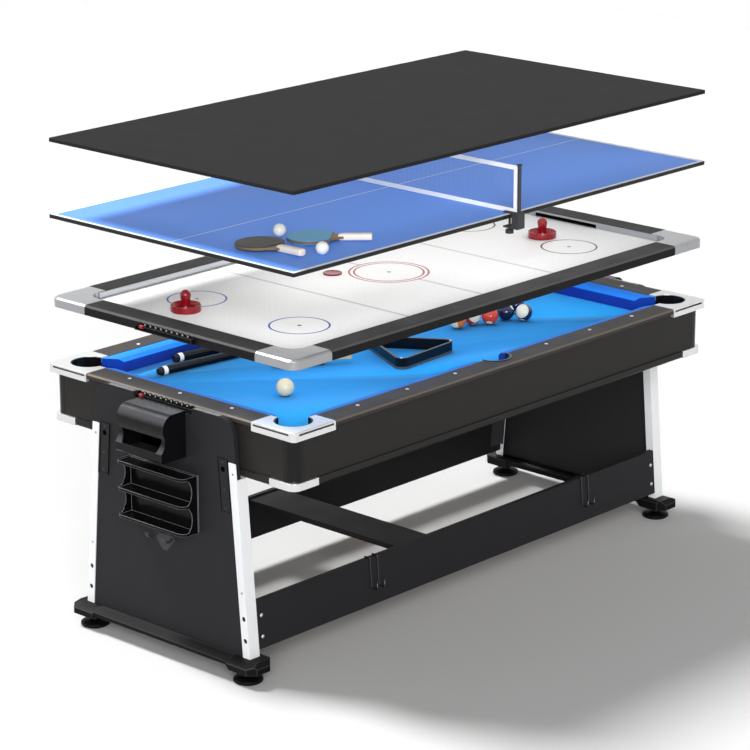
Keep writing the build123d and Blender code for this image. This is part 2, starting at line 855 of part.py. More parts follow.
def tray_plan(plan, inset):
    """Draws a tray's plan with its two front corners rounded."""
    with Locations((-panel_outer_x, 0)):
        Rectangle(rack_depth - inset, 2 * (rack_half - inset), align=(Align.MAX, Align.CENTER))
    fillet(plan.vertices().group_by(Axis.X)[0], rack_corner - inset)


with BuildPart() as accessory_rack:
    for level in rack_levels:
        with BuildSketch(Plane.XY.offset(level - rack_rim)) as tray:
            tray_plan(tray, 0)
        extrude(amount=rack_rim)
        with BuildSketch(Plane.XY.offset(level - rack_rim + rack_wall)) as recess:
            tray_plan(recess, rack_wall)
        extrude(amount=rack_rim, mode=Mode.SUBTRACT)
    with BuildSketch(Plane.YZ.offset(-panel_outer_x)) as back_plan:
        with Locations((0, rack_mid)):
            Rectangle(2 * (rack_half + rack_back_margin), rack_top_level - rack_low)
        fillet(back_plan.vertices().group_by(Axis.Y)[0], rack_back_corner)
    extrude(amount=-rack_back)
    for upper, lower in zip(rack_levels, rack_levels[1:]):
        roof = upper - rack_rim
        scoop_mid = (rack_scoop - straight, (roof + lower) / 2)
        with BuildSketch(Plane.XZ.offset(-rack_half)):
            with BuildLine():
                Line((-straight, lower), (-panel_outer_x, lower))
                Line((-panel_outer_x, lower), (-panel_outer_x, roof))
                Line((-panel_outer_x, roof), (-straight, roof))
                ThreePointArc((-straight, roof), scoop_mid, (-straight, lower))
            make_face()
        extrude(amount=rack_wall)
    mirror(about=Plane.XZ)
accessory_rack.part.label = "accessory_rack"
export_step(accessory_rack.part, "parts/accessory_rack.step")

# Rack hook, a pressed bracket under the rack: a pointed tongue with two curled prongs
hook_metal = 3.0
hook_plate_half = 44.0
hook_plate_height = 14.0
hook_drop = 34.0
hook_top = rack_low - hook_drop
hook_prong_width = 14.0
hook_reach = 42.0
hook_sag = 14.0
hook_tip_rise = 9.0
hook_tongue_half = 9.0
hook_tongue_drop = 40.0
hook_hole_radius = 4.0
hook_hole_drop = 24.0
hook_tip_round = 4.0
with BuildPart() as rack_hook:
    with BuildSketch(Plane.YZ.offset(-panel_outer_x)) as tongue:
        Polygon(
            (-hook_plate_half, hook_top),
            (hook_plate_half, hook_top),
            (hook_plate_half, hook_top - hook_plate_height),
            (hook_tongue_half, hook_top - hook_plate_height - hook_tongue_drop),
            (-hook_tongue_half, hook_top - hook_plate_height - hook_tongue_drop),
            (-hook_plate_half, hook_top - hook_plate_height),
            align=None,
        )
        fillet(tongue.vertices().group_by(Axis.Y)[0], hook_tip_round)
        with Locations((0, hook_top - hook_hole_drop)):
            Circle(hook_hole_radius, mode=Mode.SUBTRACT)
    extrude(amount=-hook_metal)
    prong_top = hook_top - hook_metal
    prong_root = -panel_outer_x - hook_metal
    for side in both_sides:
        with BuildSketch(Plane.XZ.offset(-side * (hook_plate_half - hook_prong_width / 2))):
            with BuildLine() as prong:
                Line((prong_root, prong_top), (prong_root, prong_top - hook_metal))
                ThreePointArc(
                    (prong_root, prong_top - hook_metal),
                    (prong_root - hook_reach / 2, prong_top - hook_sag),
                    (prong_root - hook_reach, prong_top + hook_tip_rise - hook_metal),
                )
                Line(
                    (prong_root - hook_reach, prong_top + hook_tip_rise - hook_metal),
                    (prong_root - hook_reach, prong_top + hook_tip_rise),
                )
                ThreePointArc(
                    (prong_root - hook_reach, prong_top + hook_tip_rise),
                    (prong_root - hook_reach / 2, prong_top - hook_sag + hook_metal),
                    (prong_root, prong_top),
                )
            make_face()
        extrude(amount=hook_prong_width / 2, both=True)
rack_hook.part.label = "rack_hook"
export_step(rack_hook.part, "parts/rack_hook.step")

# Lock plates beside the posts, with a rim, a latch hole and screw holes
plate_width = 44.0
plate_gap = 4.0
plate_rise = 53.0
plate_height = 170.0
plate_metal = 3.0
plate_rim = 4.0
plate_rim_rise = 2.0
latch_radius = 9.0
latch_drop = 33.0
plate_screw_radius = 2.5
plate_screw_drops = (11.0, 97.0, 156.0)
plate_high = box_bottom + plate_rise
plate_low = plate_high - plate_height
latch_level = plate_high - latch_drop
plate_outer = post_edge(plate_low) - post_face - plate_gap


def plate_at(level):
    """Returns the middle of a lock plate's width at a level."""
    return post_edge(level) - post_face - plate_gap - plate_width / 2


def plate_outline(inset):
    """Draws a lock plate's outline, which leans in with the post."""
    low = plate_low + inset
    high = plate_high - inset
    half = plate_width / 2 - inset
    Polygon(
        (plate_at(low) - half, low),
        (plate_at(low) + half, low),
        (plate_at(high) + half, high),
        (plate_at(high) - half, high),
        align=None,
    )


with BuildPart() as lock_plates:
    with BuildSketch(Plane.YZ.offset(panel_outer_x)):
        plate_outline(0)
    extrude(amount=plate_metal + plate_rim_rise)
    with BuildSketch(Plane.YZ.offset(panel_outer_x + plate_metal)):
        plate_outline(plate_rim)
    extrude(amount=plate_rim_rise, mode=Mode.SUBTRACT)
    with BuildSketch(Plane.YZ.offset(panel_outer_x)):
        with Locations((plate_at(latch_level), latch_level)):
            Circle(latch_radius)
        with Locations(*[(plate_at(plate_high - drop), plate_high - drop) for drop in plate_screw_drops]):
            Circle(plate_screw_radius)
    extrude(amount=plate_metal, mode=Mode.SUBTRACT)
    mirror(about=Plane.YZ)
    mirror(about=Plane.XZ)
lock_plates.part.label = "lock_plates"
export_step(lock_plates.part, "parts/lock_plates.step")

# Wire hooks that hang on the front stretcher
wire_radius = 2.0
wire_bend = 2.8
wire_pitch = 34.0
wire_hook_places = (-458.0, 596.0)
wire_back_drop = 50.0
wire_front_drop = 96.0
wire_throw = 24.0
wire_tip_rise = 26.0
wire_off = wire_radius + clearance


def wire_path(x):
    """Returns a hook's route over the front stretcher, down its face and out."""
    back_low = stretcher_top - wire_back_drop
    front_low = stretcher_top - wire_front_drop
    over = stretcher_top + wire_off
    back = wire_off - stretcher_thickness
    return [
        (x, -(post_edge(back_low) + back) + 2 * wire_off, back_low),
        (x, -(post_edge(over) + back) + 2 * wire_off, over),
        (x, -(post_edge(over) + wire_off), over),
        (x, -(post_edge(front_low) + wire_off), front_low),
        (x, -(post_edge(front_low) + wire_off + wire_throw), front_low),
        (x, -(post_edge(front_low) + wire_off + wire_throw), front_low + wire_tip_rise),
    ]


with BuildPart() as wire_hooks:
    for place in wire_hook_places:
        for side in both_sides:
            route = wire_path(place + side * wire_pitch / 2)
            with BuildLine() as wire_line:
                FilletPolyline(*route, radius=wire_bend)
            with BuildSketch(Plane(origin=route[0], z_dir=wire_line.line % 0)):
                Circle(wire_radius)
            sweep(path=wire_line.line)
wire_hooks.part.label = "wire_hooks"
export_step(wire_hooks.part, "parts/wire_hooks.step")

# Balls on the bed
ball_radius = 28.6
cue_ball_place = (-612.0, -124.0)
object_ball_places = [
    (321.0, -17.0),
    (389.0, -25.0),
    (434.0, -64.0),
    (510.0, -69.0),
    (545.0, -120.0),
    (543.0, -7.0),
    (597.0, -40.0),
]
with BuildPart() as cue_ball:
    with Locations((*cue_ball_place, bed_top + ball_radius)):
        Sphere(ball_radius)
cue_ball.part.label = "cue_ball"
export_step(cue_ball.part, "parts/cue_ball.step")

with BuildPart() as object_balls:
    with Locations(*[(*place, bed_top + ball_radius) for place in object_ball_places]):
        Sphere(ball_radius)
object_balls.part.label = "object_balls"
export_step(object_balls.part, "parts/object_balls.step")

# Triangle rack for the balls
triangle_centre = (-33.0, -114.0)
triangle_turn = 94.0
triangle_reach = 180.0
triangle_sides = 3
triangle_wall = 9.0
triangle_corner = 26.0
triangle_height = 38.0
with BuildPart() as triangle_rack:
    with BuildSketch(Plane.XY.offset(bed_top)) as triangle_plan:
        with Locations(triangle_centre):
            RegularPolygon(triangle_reach, triangle_sides, rotation=triangle_turn)
        fillet(triangle_plan.vertices(), triangle_corner)
        offset(amount=-triangle_wall, kind=Kind.ARC, mode=Mode.SUBTRACT)
    extrude(amount=triangle_height)
triangle_rack.part.label = "triangle_rack"
export_step(triangle_rack.part, "parts/triangle_rack.step")

# Cue sticks, tapered from the butt to the tip, lying on the cloth
cue_length = 1220.0
cue_butt_radius = 14.5
cue_tip_radius = 6.0
cue_bumper = 12.0
cue_bumper_radius = 11.0
cue_turns = (-5.9, -6.4)
cue_cushion_gaps = ((138.0, 91.0), (273.0, 21.0))
nose_x = end_back - cushion_width
nose_y = long_back - cushion_width
cue_butts = [(gap_x - nose_x, nose_y - gap_y) for gap_x, gap_y in cue_cushion_gaps]
cue_slope = (cue_butt_radius - cue_tip_radius) / (cue_length - cue_bumper)
with BuildPart() as cue_sticks:
    for (butt_x, butt_y), turn in zip(cue_butts, cue_turns):
        along_x = cos(radians(turn))
        along_y = sin(radians(turn))
        heading = Vector(along_x, along_y, -cue_slope)
        butt = Vector(butt_x, butt_y, bed_top + cue_butt_radius + cue_bumper * cue_slope)
        with BuildSketch(Plane(origin=butt, x_dir=heading, z_dir=(along_y, -along_x, 0))):
            with BuildLine():
                Polyline(
                    (0, 0),
                    (0, cue_bumper_radius),
                    (cue_bumper, cue_butt_radius),
                    (cue_length, cue_tip_radius),
                    (cue_length, 0),
                    close=True,
                )
            make_face()
        revolve(axis=Axis(butt, heading))
cue_sticks.part.label = "cue_sticks"
export_step(cue_sticks.part, "parts/cue_sticks.step")

# Table brush, a pale wooden back and handle over a row of bristles
brush_place = (-345.0, 72.0)
brush_turn = -35.5
brush_body = 180.0
brush_width = 34.0
brush_handle = 90.0
brush_neck = 16.0
brush_bristle_inset = 5.0
brush_bristle_height = 14.0
brush_back_height = 16.0
brush_heading = (cos(radians(brush_turn)), sin(radians(brush_turn)), 0)
brush_base = Plane(origin=(*brush_place, bed_top), x_dir=brush_heading, z_dir=(0, 0, 1))
with BuildPart() as brush_bristles:
    with BuildSketch(brush_base):
        SlotOverall(brush_body - 2 * brush_bristle_inset, brush_width - 2 * brush_bristle_inset)
    extrude(amount=brush_bristle_height)
brush_bristles.part.label = "brush_bristles"
export_step(brush_bristles.part, "parts/brush_bristles.step")

with BuildPart() as brush_back:
    with BuildSketch(brush_base.offset(brush_bristle_height)):
        SlotOverall(brush_body, brush_width)
        with Locations(((brush_body + brush_handle) / 2 - brush_neck, 0)):
            SlotOverall(brush_handle + brush_neck, brush_neck)
    extrude(amount=brush_back_height)
brush_back.part.label = "brush_back"
export_step(brush_back.part, "parts/brush_back.step")

# Air hockey deck: four rails and four castings round a white bed
deck_inset_x = 8.0
deck_inset_y = 5.0
deck_height = 32.0
deck_rail_width = 82.0
deck_rail_bevel = 6.0
deck_casting_round = 13.0
deck_bed_drop = 22.0
deck_bed_thickness = 10.0
deck_arm = 162.0
deck_corner_radius = 36.0
deck_inner_radius = 52.0
deck_x = half_length - deck_inset_x
deck_y = half_width - deck_inset_y
deck_bottom = air_deck_level - deck_height
deck_bed_top = air_deck_level - deck_bed_drop
deck_inner_x = deck_x - deck_rail_width
deck_inner_y = deck_y - deck_rail_width
goal_half = 135.0
goal_height = 13.0
goal_depth = 52.0


def deck_rail_section(face, side):
    """Draws an air deck rail's section, with a bevelled upper edge outside."""
    Polygon(
        (side * face, deck_bottom),
        (side * face, air_deck_level - deck_rail_bevel),
        (side * (face - deck_rail_bevel), air_deck_level),
        (side * (face - deck_rail_width), air_deck_level),
        (side * (face - deck_rail_width), deck_bottom),
        align=None,
    )


with BuildPart() as air_rails:
    with BuildSketch(Plane.YZ):
        for side in both_sides:
            deck_rail_section(deck_y, side)
    extrude(amount=deck_x - deck_arm, both=True)
    with BuildSketch(Plane.XZ):
        for end in both_sides:
            deck_rail_section(deck_x, end)
    extrude(amount=deck_y - deck_arm, both=True)
    with BuildSketch(Plane.XY.offset(deck_bed_top)):
        with Locations(*[(end * deck_inner_x, 0) for end in both_sides]):
            Rectangle(2 * goal_depth, 2 * goal_half)
    extrude(amount=goal_height, mode=Mode.SUBTRACT)
air_rails.part.label = "air_rails"
export_step(air_rails.part, "parts/air_rails.step")


def shoulder(face):
    """Returns what the rounded shoulder takes off a casting's outer face."""
    low = air_deck_level - deck_casting_round
    inner = face - deck_casting_round
    round_mid = deck_casting_round * diagonal_share
    with BuildSketch() as section:
        with BuildLine():
            Line((face, low), (face, air_deck_level))
            Line((face, air_deck_level), (inner, air_deck_level))
            ThreePointArc((inner, air_deck_level), (inner + round_mid, low + round_mid), (face, low))
        make_face()
    return section.sketch


quarter_turn = 90.0
with BuildPart() as air_corners:
    with BuildSketch(Plane.XY.offset(deck_bottom)) as deck_corner_plan:
        with Locations((deck_x, deck_y)):
            Rectangle(deck_arm, deck_arm, align=(Align.MAX, Align.MAX))
        fillet(outer_corner(deck_corner_plan, deck_inner_x, deck_inner_y), deck_corner_radius)
        with Locations((deck_inner_x, deck_inner_y)):
            Rectangle(deck_arm, deck_arm, align=(Align.MAX, Align.MAX), mode=Mode.SUBTRACT)
        inner_spot = (deck_inner_x, deck_inner_y, deck_bottom)
        fillet(deck_corner_plan.vertices().sort_by_distance(inner_spot)[0], deck_inner_radius)
    extrude(amount=deck_height)
    with BuildSketch(Plane.YZ.offset(deck_x - deck_arm)):
        add(shoulder(deck_y))
    extrude(amount=deck_arm - deck_corner_radius, mode=Mode.SUBTRACT)
    with BuildSketch(Plane.XZ.offset(deck_arm - deck_y)):
        add(shoulder(deck_x))
    extrude(amount=deck_corner_radius - deck_arm, mode=Mode.SUBTRACT)
    with BuildSketch(Plane.XZ.offset(deck_corner_radius - deck_y)):
        add(shoulder(deck_x))
    turn_centre = (deck_x - deck_corner_radius, deck_y - deck_corner_radius, 0)
    revolve(axis=Axis(turn_centre, (0, 0, 1)), revolution_arc=quarter_turn, mode=Mode.SUBTRACT)
    mirror(about=Plane.YZ)
    mirror(about=Plane.XZ)
air_corners.part.label = "air_corners"
export_step(air_corners.part, "parts/air_corners.step")

with BuildPart() as air_bed:
    with BuildSketch(Plane.XY.offset(deck_bed_top - deck_bed_thickness)) as bed_plan:
        Rectangle(2 * deck_inner_x, 2 * deck_inner_y)
        fillet(bed_plan.vertices(), deck_inner_radius)
    extrude(amount=deck_bed_thickness)
air_bed.part.label = "air_bed"
export_step(air_bed.part, "parts/air_bed.step")

# Aluminium strips that line the air deck's walls, slotted at the goals
strip_thickness = 3.0
strip_top_drop = 2.0
strip_height = deck_bed_drop - strip_top_drop
with BuildPart() as air_wall_strips:
    with BuildSketch(Plane.XY.offset(deck_bed_top)):
        with Locations(*[(0, side * (deck_inner_y - strip_thickness / 2)) for side in both_sides]):
            Rectangle(2 * (deck_inner_x - deck_inner_radius), strip_thickness)
        with Locations(*[(end * (deck_inner_x - strip_thickness / 2), 0) for end in both_sides]):
            Rectangle(strip_thickness, 2 * (deck_inner_y - deck_inner_radius))
    extrude(amount=strip_height)
    with BuildSketch(Plane.XY.offset(deck_bed_top)):
        with Locations(*[(end * deck_inner_x, 0) for end in both_sides]):
            Rectangle(2 * goal_depth, 2 * goal_half)
    extrude(amount=goal_height, mode=Mode.SUBTRACT)
air_wall_strips.part.label = "air_wall_strips"
export_step(air_wall_strips.part, "parts/air_wall_strips.step")

# Strikers and puck
striker_radius = 48.0
striker_rim = 22.0
striker_wall = 4.0
striker_dish = 9.0
striker_knob_radius = 17.0
striker_waist_radius = 14.0
striker_waist = 30.0
striker_height = 68.0
striker_end_gaps = (140.0, 220.0)
striker_offsets = (150.0, -75.0)
striker_places = [
    (end * (deck_inner_x - gap), offset)
    for end, gap, offset in zip(both_sides, striker_end_gaps, striker_offsets)
]
puck_radius = 31.5
puck_height = 5.0
puck_place = (-140.0, 120.0)
puck_bevel = 1.2
with BuildPart() as strikers:
    for place in striker_places:
        spot = (*place, deck_bed_top)
        knob_side = striker_knob_radius * diagonal_share
        knob_centre = striker_height - striker_knob_radius
        with BuildSketch(Plane(origin=spot, x_dir=(1, 0, 0), z_dir=(0, -1, 0))):
            with BuildLine():
                Polyline(
                    (0, striker_height),
                    (0, 0),
                    (striker_radius, 0),
                    (striker_radius, striker_rim),
                    (striker_radius - striker_wall, striker_rim),
                    (striker_radius - 2 * striker_wall, striker_dish),
                    (striker_waist_radius + striker_wall, striker_dish),
                    (striker_waist_radius, striker_waist),
                    (striker_knob_radius, knob_centre),
                )
                ThreePointArc(
                    (striker_knob_radius, knob_centre),
                    (knob_side, knob_centre + knob_side),
                    (0, striker_height),
                )
            make_face()
        revolve(axis=Axis(spot, (0, 0, 1)))
strikers.part.label = "strikers"
export_step(strikers.part, "parts/strikers.step")

with BuildPart() as puck:
    with BuildSketch(Plane.XY.offset(deck_bed_top)):
        with Locations(puck_place):
            Circle(puck_radius)
    extrude(amount=puck_height)
    chamfer(puck.edges().group_by(Axis.Z)[-1], puck_bevel)
puck.part.label = "puck"
export_step(puck.part, "parts/puck.step")

# Score counters: a scalloped strip with a rod that carries a sliding marker
scorer_depth = 18.6
scorer_base = 3.0
scorer_back = 3.0
scorer_height = 14.0
scorer_teeth = 11
scorer_tooth_radius = 8.0
scorer_cheek = 4.0
rod_radius = 1.5
rod_rise = 11.0
marker_radius = 6.0
marker_sides = 8
marker_gap = 1.0
marker_length = 14.0
marker_rest = 100.0
pool_scorer_level = panel_top - scorer_notch_depth + clearance
air_scorer_rise = 6.0
air_scorer_level = deck_bottom + air_scorer_rise
tooth_pitch = (scorer_length - 2 * scorer_tooth_radius) / (scorer_teeth - 1)
scorers = {
    "pool": (half_length, pool_scorer_level),
    "air": (deck_x, air_scorer_level),
}


for deck_name, (face, level) in scorers.items():
    rod_x = face + scorer_depth - marker_radius - marker_gap
    with BuildPart() as scorer_pair:
        with BuildSketch(Plane.YZ.offset(face)):
            with Locations((0, level + scorer_height / 2)):
                Rectangle(scorer_length, scorer_height)
            for tooth in range(scorer_teeth):
                with Locations(((tooth - scorer_teeth // 2) * tooth_pitch, level + scorer_height)):
                    Circle(scorer_tooth_radius)
        extrude(amount=scorer_back)
        with BuildSketch(Plane.XZ):
            with Locations((face, level)):
                Rectangle(scorer_depth, scorer_height, align=(Align.MIN, Align.MIN))
        extrude(amount=scorer_length / 2, both=True)
        with BuildSketch(Plane.XZ):
            with Locations((face + scorer_back, level + scorer_base)):
                Rectangle(scorer_depth, scorer_height, align=(Align.MIN, Align.MIN))
        extrude(amount=scorer_length / 2 - scorer_cheek, both=True, mode=Mode.SUBTRACT)
        with BuildSketch(Plane.XZ):
            with Locations((rod_x, level + rod_rise)):
                Circle(rod_radius)
        extrude(amount=scorer_length / 2, both=True)
        mirror(about=Plane.YZ)
    scorer_pair.part.label = f"{deck_name}_scorers"
    export_step(scorer_pair.part, f"parts/{deck_name}_scorers.step")
    for end, place in zip(both_sides, ("near", "far")):
        marker_y = -end * marker_rest
        with BuildPart() as marker:
            with BuildSketch(Plane.XZ.offset(-marker_y)):
                with Locations((end * rod_x, level + rod_rise)):
                    RegularPolygon(marker_radius, marker_sides)
                    Circle(rod_radius + clearance, mode=Mode.SUBTRACT)
            extrude(amount=marker_length / 2, both=True)
        marker.part.label = f"{deck_name}_marker_{place}"
        export_step(marker.part, f"parts/{deck_name}_marker_{place}.step")

# Table tennis top with its net
tennis_inset_x = 14.0
tennis_inset_y = 8.0
tennis_thickness = 12.0
tennis_corner = 6.0
net_height = 152.0
net_thickness = 1.2
net_cord = 3.0
net_columns = 36
net_rows = 5
tape_height = 14.0
tape_thickness = 3.0
net_overhang = 8.0
tennis_x = half_length - tennis_inset_x
tennis_y = half_width - tennis_inset_y
net_half = tennis_y + net_overhang
tennis_bottom = tennis_top_level - tennis_thickness
with BuildPart() as tennis_top:
    with BuildSketch(Plane.XY.offset(tennis_bottom)) as tennis_plan:
        Rectangle(2 * tennis_x, 2 * tennis_y)
        fillet(tennis_plan.vertices(), tennis_corner)
    extrude(amount=tennis_thickness)
tennis_top.part.label = "tennis_top"
export_step(tennis_top.part, "parts/tennis_top.step")

low_tape_bottom = tennis_top_level + clearance
high_tape_bottom = tennis_top_level + net_height - tape_height
net_low = low_tape_bottom + tape_height
net_field_height = high_tape_bottom - net_low
column_pitch = 2 * net_half / net_columns
row_pitch = net_field_height / net_rows
with BuildPart() as net:
    with BuildSketch(Plane.YZ):
        with Locations((0, net_low + net_field_height / 2)):
            Rectangle(2 * net_half, net_field_height)
            with GridLocations(column_pitch, row_pitch, net_columns, net_rows):
                Rectangle(column_pitch - net_cord, row_pitch - net_cord, mode=Mode.SUBTRACT)
    extrude(amount=net_thickness / 2, both=True)
net.part.label = "net"
export_step(net.part, "parts/net.step")

with BuildPart() as net_tapes:
    with BuildSketch(Plane.YZ):
        with Locations(*[(0, bottom + tape_height / 2) for bottom in (low_tape_bottom, high_tape_bottom)]):
            Rectangle(2 * net_half, tape_height)
    extrude(amount=tape_thickness / 2, both=True)
net_tapes.part.label = "net_tapes"
export_step(net_tapes.part, "parts/net_tapes.step")

# Net posts, tubes on clamps that grip the top's edge
post_radius = 6.0
post_cap_radius = 8.0
post_cap_height = 6.0
clamp_half = 17.0
clamp_metal = 5.0
clamp_reach = 34.0
clamp_depth = 52.0
clamp_back = 26.0
screw_radius = 4.0
screw_pad_radius = 11.0
screw_pad = 4.0
screw_knob_radius = 13.0
screw_knob = 12.0
screw_tail = 8.0
clamp_top = tennis_top_level + clamp_metal
clamp_bottom = clamp_top - clamp_depth
clamp_inner = tennis_y - clamp_reach
clamp_wall = tennis_y + clamp_back
net_post_y = net_half + tape_thickness + post_radius
screw_y = clamp_inner + screw_knob_radius
with BuildPart() as net_posts:
    with BuildSketch(Plane.YZ):
        Polygon(
            (clamp_inner, clamp_top),
            (clamp_inner, tennis_top_level),
            (tennis_y + clearance, tennis_top_level),
            (tennis_y + clearance, clamp_bottom + clamp_metal),
            (clamp_inner, clamp_bottom + clamp_metal),
            (clamp_inner, clamp_bottom),
            (clamp_wall, clamp_bottom),
            (clamp_wall, clamp_top),
            align=None,
        )
    extrude(amount=clamp_half, both=True)
    with BuildSketch(Plane.XY.offset(tennis_top_level)):
        Rectangle(2 * tape_thickness, 2 * (net_half + clearance))
    extrude(amount=clamp_metal, mode=Mode.SUBTRACT)
    with BuildSketch(Plane.XY.offset(clamp_top)):
        with Locations((0, net_post_y)):
            Circle(post_radius)
    extrude(amount=tennis_top_level + net_height - clamp_top)
    with BuildSketch(Plane.XY.offset(tennis_top_level + net_height)):
        with Locations((0, net_post_y)):
            Circle(post_cap_radius)
    extrude(amount=post_cap_height)
    with BuildSketch(Plane.XY.offset(clamp_bottom)):
        with Locations((0, screw_y)):
            Circle(screw_radius + clearance)
    extrude(amount=clamp_metal, mode=Mode.SUBTRACT)
    mirror(about=Plane.XZ)
net_posts.part.label = "net_posts"
export_step(net_posts.part, "parts/net_posts.step")

# Clamp screws, turned by a fluted knob below
knob_flutes = 6
for side, flank in zip(both_sides, ("front", "back")):
    with BuildPart() as clamp_screw:
        with BuildSketch(Plane.XY.offset(clamp_bottom - screw_tail)):
            with Locations((0, side * screw_y)):
                Circle(screw_radius)
        extrude(amount=tennis_bottom - clearance - clamp_bottom + screw_tail)
        with BuildSketch(Plane.XY.offset(tennis_bottom - clearance - screw_pad)):
            with Locations((0, side * screw_y)):
                Circle(screw_pad_radius)
        extrude(amount=screw_pad)
        with BuildSketch(Plane.XY.offset(clamp_bottom - screw_tail - screw_knob)):
            with Locations((0, side * screw_y)):
                Circle(screw_knob_radius)
                with PolarLocations(screw_knob_radius + screw_radius / 2, knob_flutes):
                    Circle(screw_radius, mode=Mode.SUBTRACT)
        extrude(amount=screw_knob)
    clamp_screw.part.label = f"clamp_screw_{flank}"
    export_step(clamp_screw.part, f"parts/clamp_screw_{flank}.step")

# Bats and balls on the tennis top
bat_radius = 75.0
bat_blade = 12.0
bat_handle_length = 104.0
bat_handle_width = 27.0
bat_handle_height = 22.0
bat_neck_half = 34.0
bat_neck_length = 26.0
bats = {
    "black": ((157.0, 294.0), -92.0),
    "blue": ((319.0, 237.0), -53.0),
}
handle_start = bat_radius + bat_blade / 2
blade_lift = (bat_handle_height - bat_blade) / 2
bat_tilt = blade_lift / (bat_radius + handle_start)
for colour, ((gap_x, gap_y), turn) in bats.items():
    ahead = (cos(radians(turn)), sin(radians(turn)))
    bat_plane = Plane(
        origin=(gap_x - tennis_x, gap_y - tennis_y, tennis_top_level - handle_start * bat_tilt),
        x_dir=(*ahead, bat_tilt),
        z_dir=(-bat_tilt * ahead[0], -bat_tilt * ahead[1], 1),
    )
    with BuildPart() as bat:
        with BuildSketch(bat_plane.offset(blade_lift)):
            Circle(bat_radius)
            Polygon(
                (bat_radius - bat_neck_length / 2, -bat_neck_half),
                (bat_radius + bat_neck_length, -bat_handle_width / 2),
                (bat_radius + bat_neck_length, bat_handle_width / 2),
                (bat_radius - bat_neck_length / 2, bat_neck_half),
                align=None,
            )
        extrude(amount=bat_blade)
        with BuildSketch(bat_plane):
            with Locations((handle_start + bat_handle_length / 2, 0)):
                RectangleRounded(bat_handle_length, bat_handle_width, bat_blade / 2)
        extrude(amount=bat_handle_height)
    bat.part.label = f"bat_{colour}"
    export_step(bat.part, f"parts/bat_{colour}.step")

tennis_ball_radius = 20.0
tennis_ball_gaps = [(282.0, 334.0), (213.0, 90.0)]
ball_level = tennis_top_level + tennis_ball_radius
ball_spots = [(gap_x - tennis_x, gap_y - tennis_y, ball_level) for gap_x, gap_y in tennis_ball_gaps]
with BuildPart() as tennis_balls:
    with Locations(*ball_spots):
        Sphere(tennis_ball_radius)
tennis_balls.part.label = "tennis_balls"
export_step(tennis_balls.part, "parts/tennis_balls.step")

# Dining top, which covers the stack
dining_inset_x = 19.0
dining_inset_y = 10.0
dining_thickness = 12.0
dining_corner = 8.0
dining_edge = 1.5
with BuildPart() as dining_top:
    with BuildSketch(Plane.XY.offset(dining_top_level - dining_thickness)) as dining_plan:
        Rectangle(2 * (half_length - dining_inset_x), 2 * (half_width - dining_inset_y))
        fillet(dining_plan.vertices(), dining_corner)
    extrude(amount=dining_thickness)
    chamfer(dining_top.faces().sort_by(Axis.Z)[-1].edges(), dining_edge)
dining_top.part.label = "dining_top"
export_step(dining_top.part, "parts/dining_top.step")
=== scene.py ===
"""Multi game table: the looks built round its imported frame.

A pool table hangs between two flared end frames. Above it, lifted apart, lie an air
hockey deck, a table tennis top and a plain dining top. Each class below is one
sub-assembly: it holds its sizes, builds its meshes in metres and dresses them.
"""

from __future__ import annotations

import json
import logging
import math
from dataclasses import dataclass
from enum import Enum
from typing import Sequence

import bmesh
import bpy
from mathutils import Euler, Matrix, Vector, geometry

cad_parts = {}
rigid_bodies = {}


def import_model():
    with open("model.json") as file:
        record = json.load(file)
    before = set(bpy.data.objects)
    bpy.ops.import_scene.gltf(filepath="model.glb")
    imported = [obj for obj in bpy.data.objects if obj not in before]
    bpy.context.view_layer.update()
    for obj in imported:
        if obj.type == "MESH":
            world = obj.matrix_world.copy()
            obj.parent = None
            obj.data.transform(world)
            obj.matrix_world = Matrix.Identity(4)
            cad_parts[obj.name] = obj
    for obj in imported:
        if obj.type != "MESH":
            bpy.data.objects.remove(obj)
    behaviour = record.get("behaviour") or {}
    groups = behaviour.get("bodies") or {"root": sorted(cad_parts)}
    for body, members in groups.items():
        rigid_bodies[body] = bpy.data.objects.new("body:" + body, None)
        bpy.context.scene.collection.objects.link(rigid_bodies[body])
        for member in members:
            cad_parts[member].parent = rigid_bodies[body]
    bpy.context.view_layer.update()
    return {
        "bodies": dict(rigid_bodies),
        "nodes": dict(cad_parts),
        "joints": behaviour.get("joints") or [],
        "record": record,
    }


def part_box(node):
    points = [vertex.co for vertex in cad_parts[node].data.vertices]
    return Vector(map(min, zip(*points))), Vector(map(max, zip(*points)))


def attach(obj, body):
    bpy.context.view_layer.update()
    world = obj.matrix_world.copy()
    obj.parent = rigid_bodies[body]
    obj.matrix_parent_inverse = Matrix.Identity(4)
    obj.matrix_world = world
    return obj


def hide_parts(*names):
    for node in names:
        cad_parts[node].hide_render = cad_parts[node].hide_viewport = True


LOG = logging.getLogger("game_table")
MM = 0.001
TURN = 2 * math.pi
MERGE = 0.01 * MM
CORNERS = tuple((end, side) for end in (-1, 1) for side in (-1, 1))
Point = tuple[float, float]
Colour = tuple[float, float, float, float]


class Axis(Enum):
    """The three axes of the frame, with the two others in order."""

    X = (0, 1, 2)
    Y = (1, 0, 2)
    Z = (2, 0, 1)


def paint(red: int, green: int, blue: int) -> Colour:
    """Turn a colour as a screen shows it into the linear one that a shader takes.

    Args:
        red: Red from 0 to 255.
        green: Green from 0 to 255.
        blue: Blue from 0 to 255.

    Returns:
        The linear colour with an alpha of 1.
    """
    low, offset, gain, power = 0.04045, 0.055, 12.92, 2.4
    shares = [part / 255 for part in (red, green, blue)]
    linear = [s / gain if s <= low else ((s + offset) / (1 + offset)) ** power for s in shares]
    return (*linear, 1.0)


def shade(colour: Colour, share: float) -> Colour:
    """Return a colour made darker or lighter by a share."""
    return (*[min(part * share, 1.0) for part in colour[:3]], 1.0)


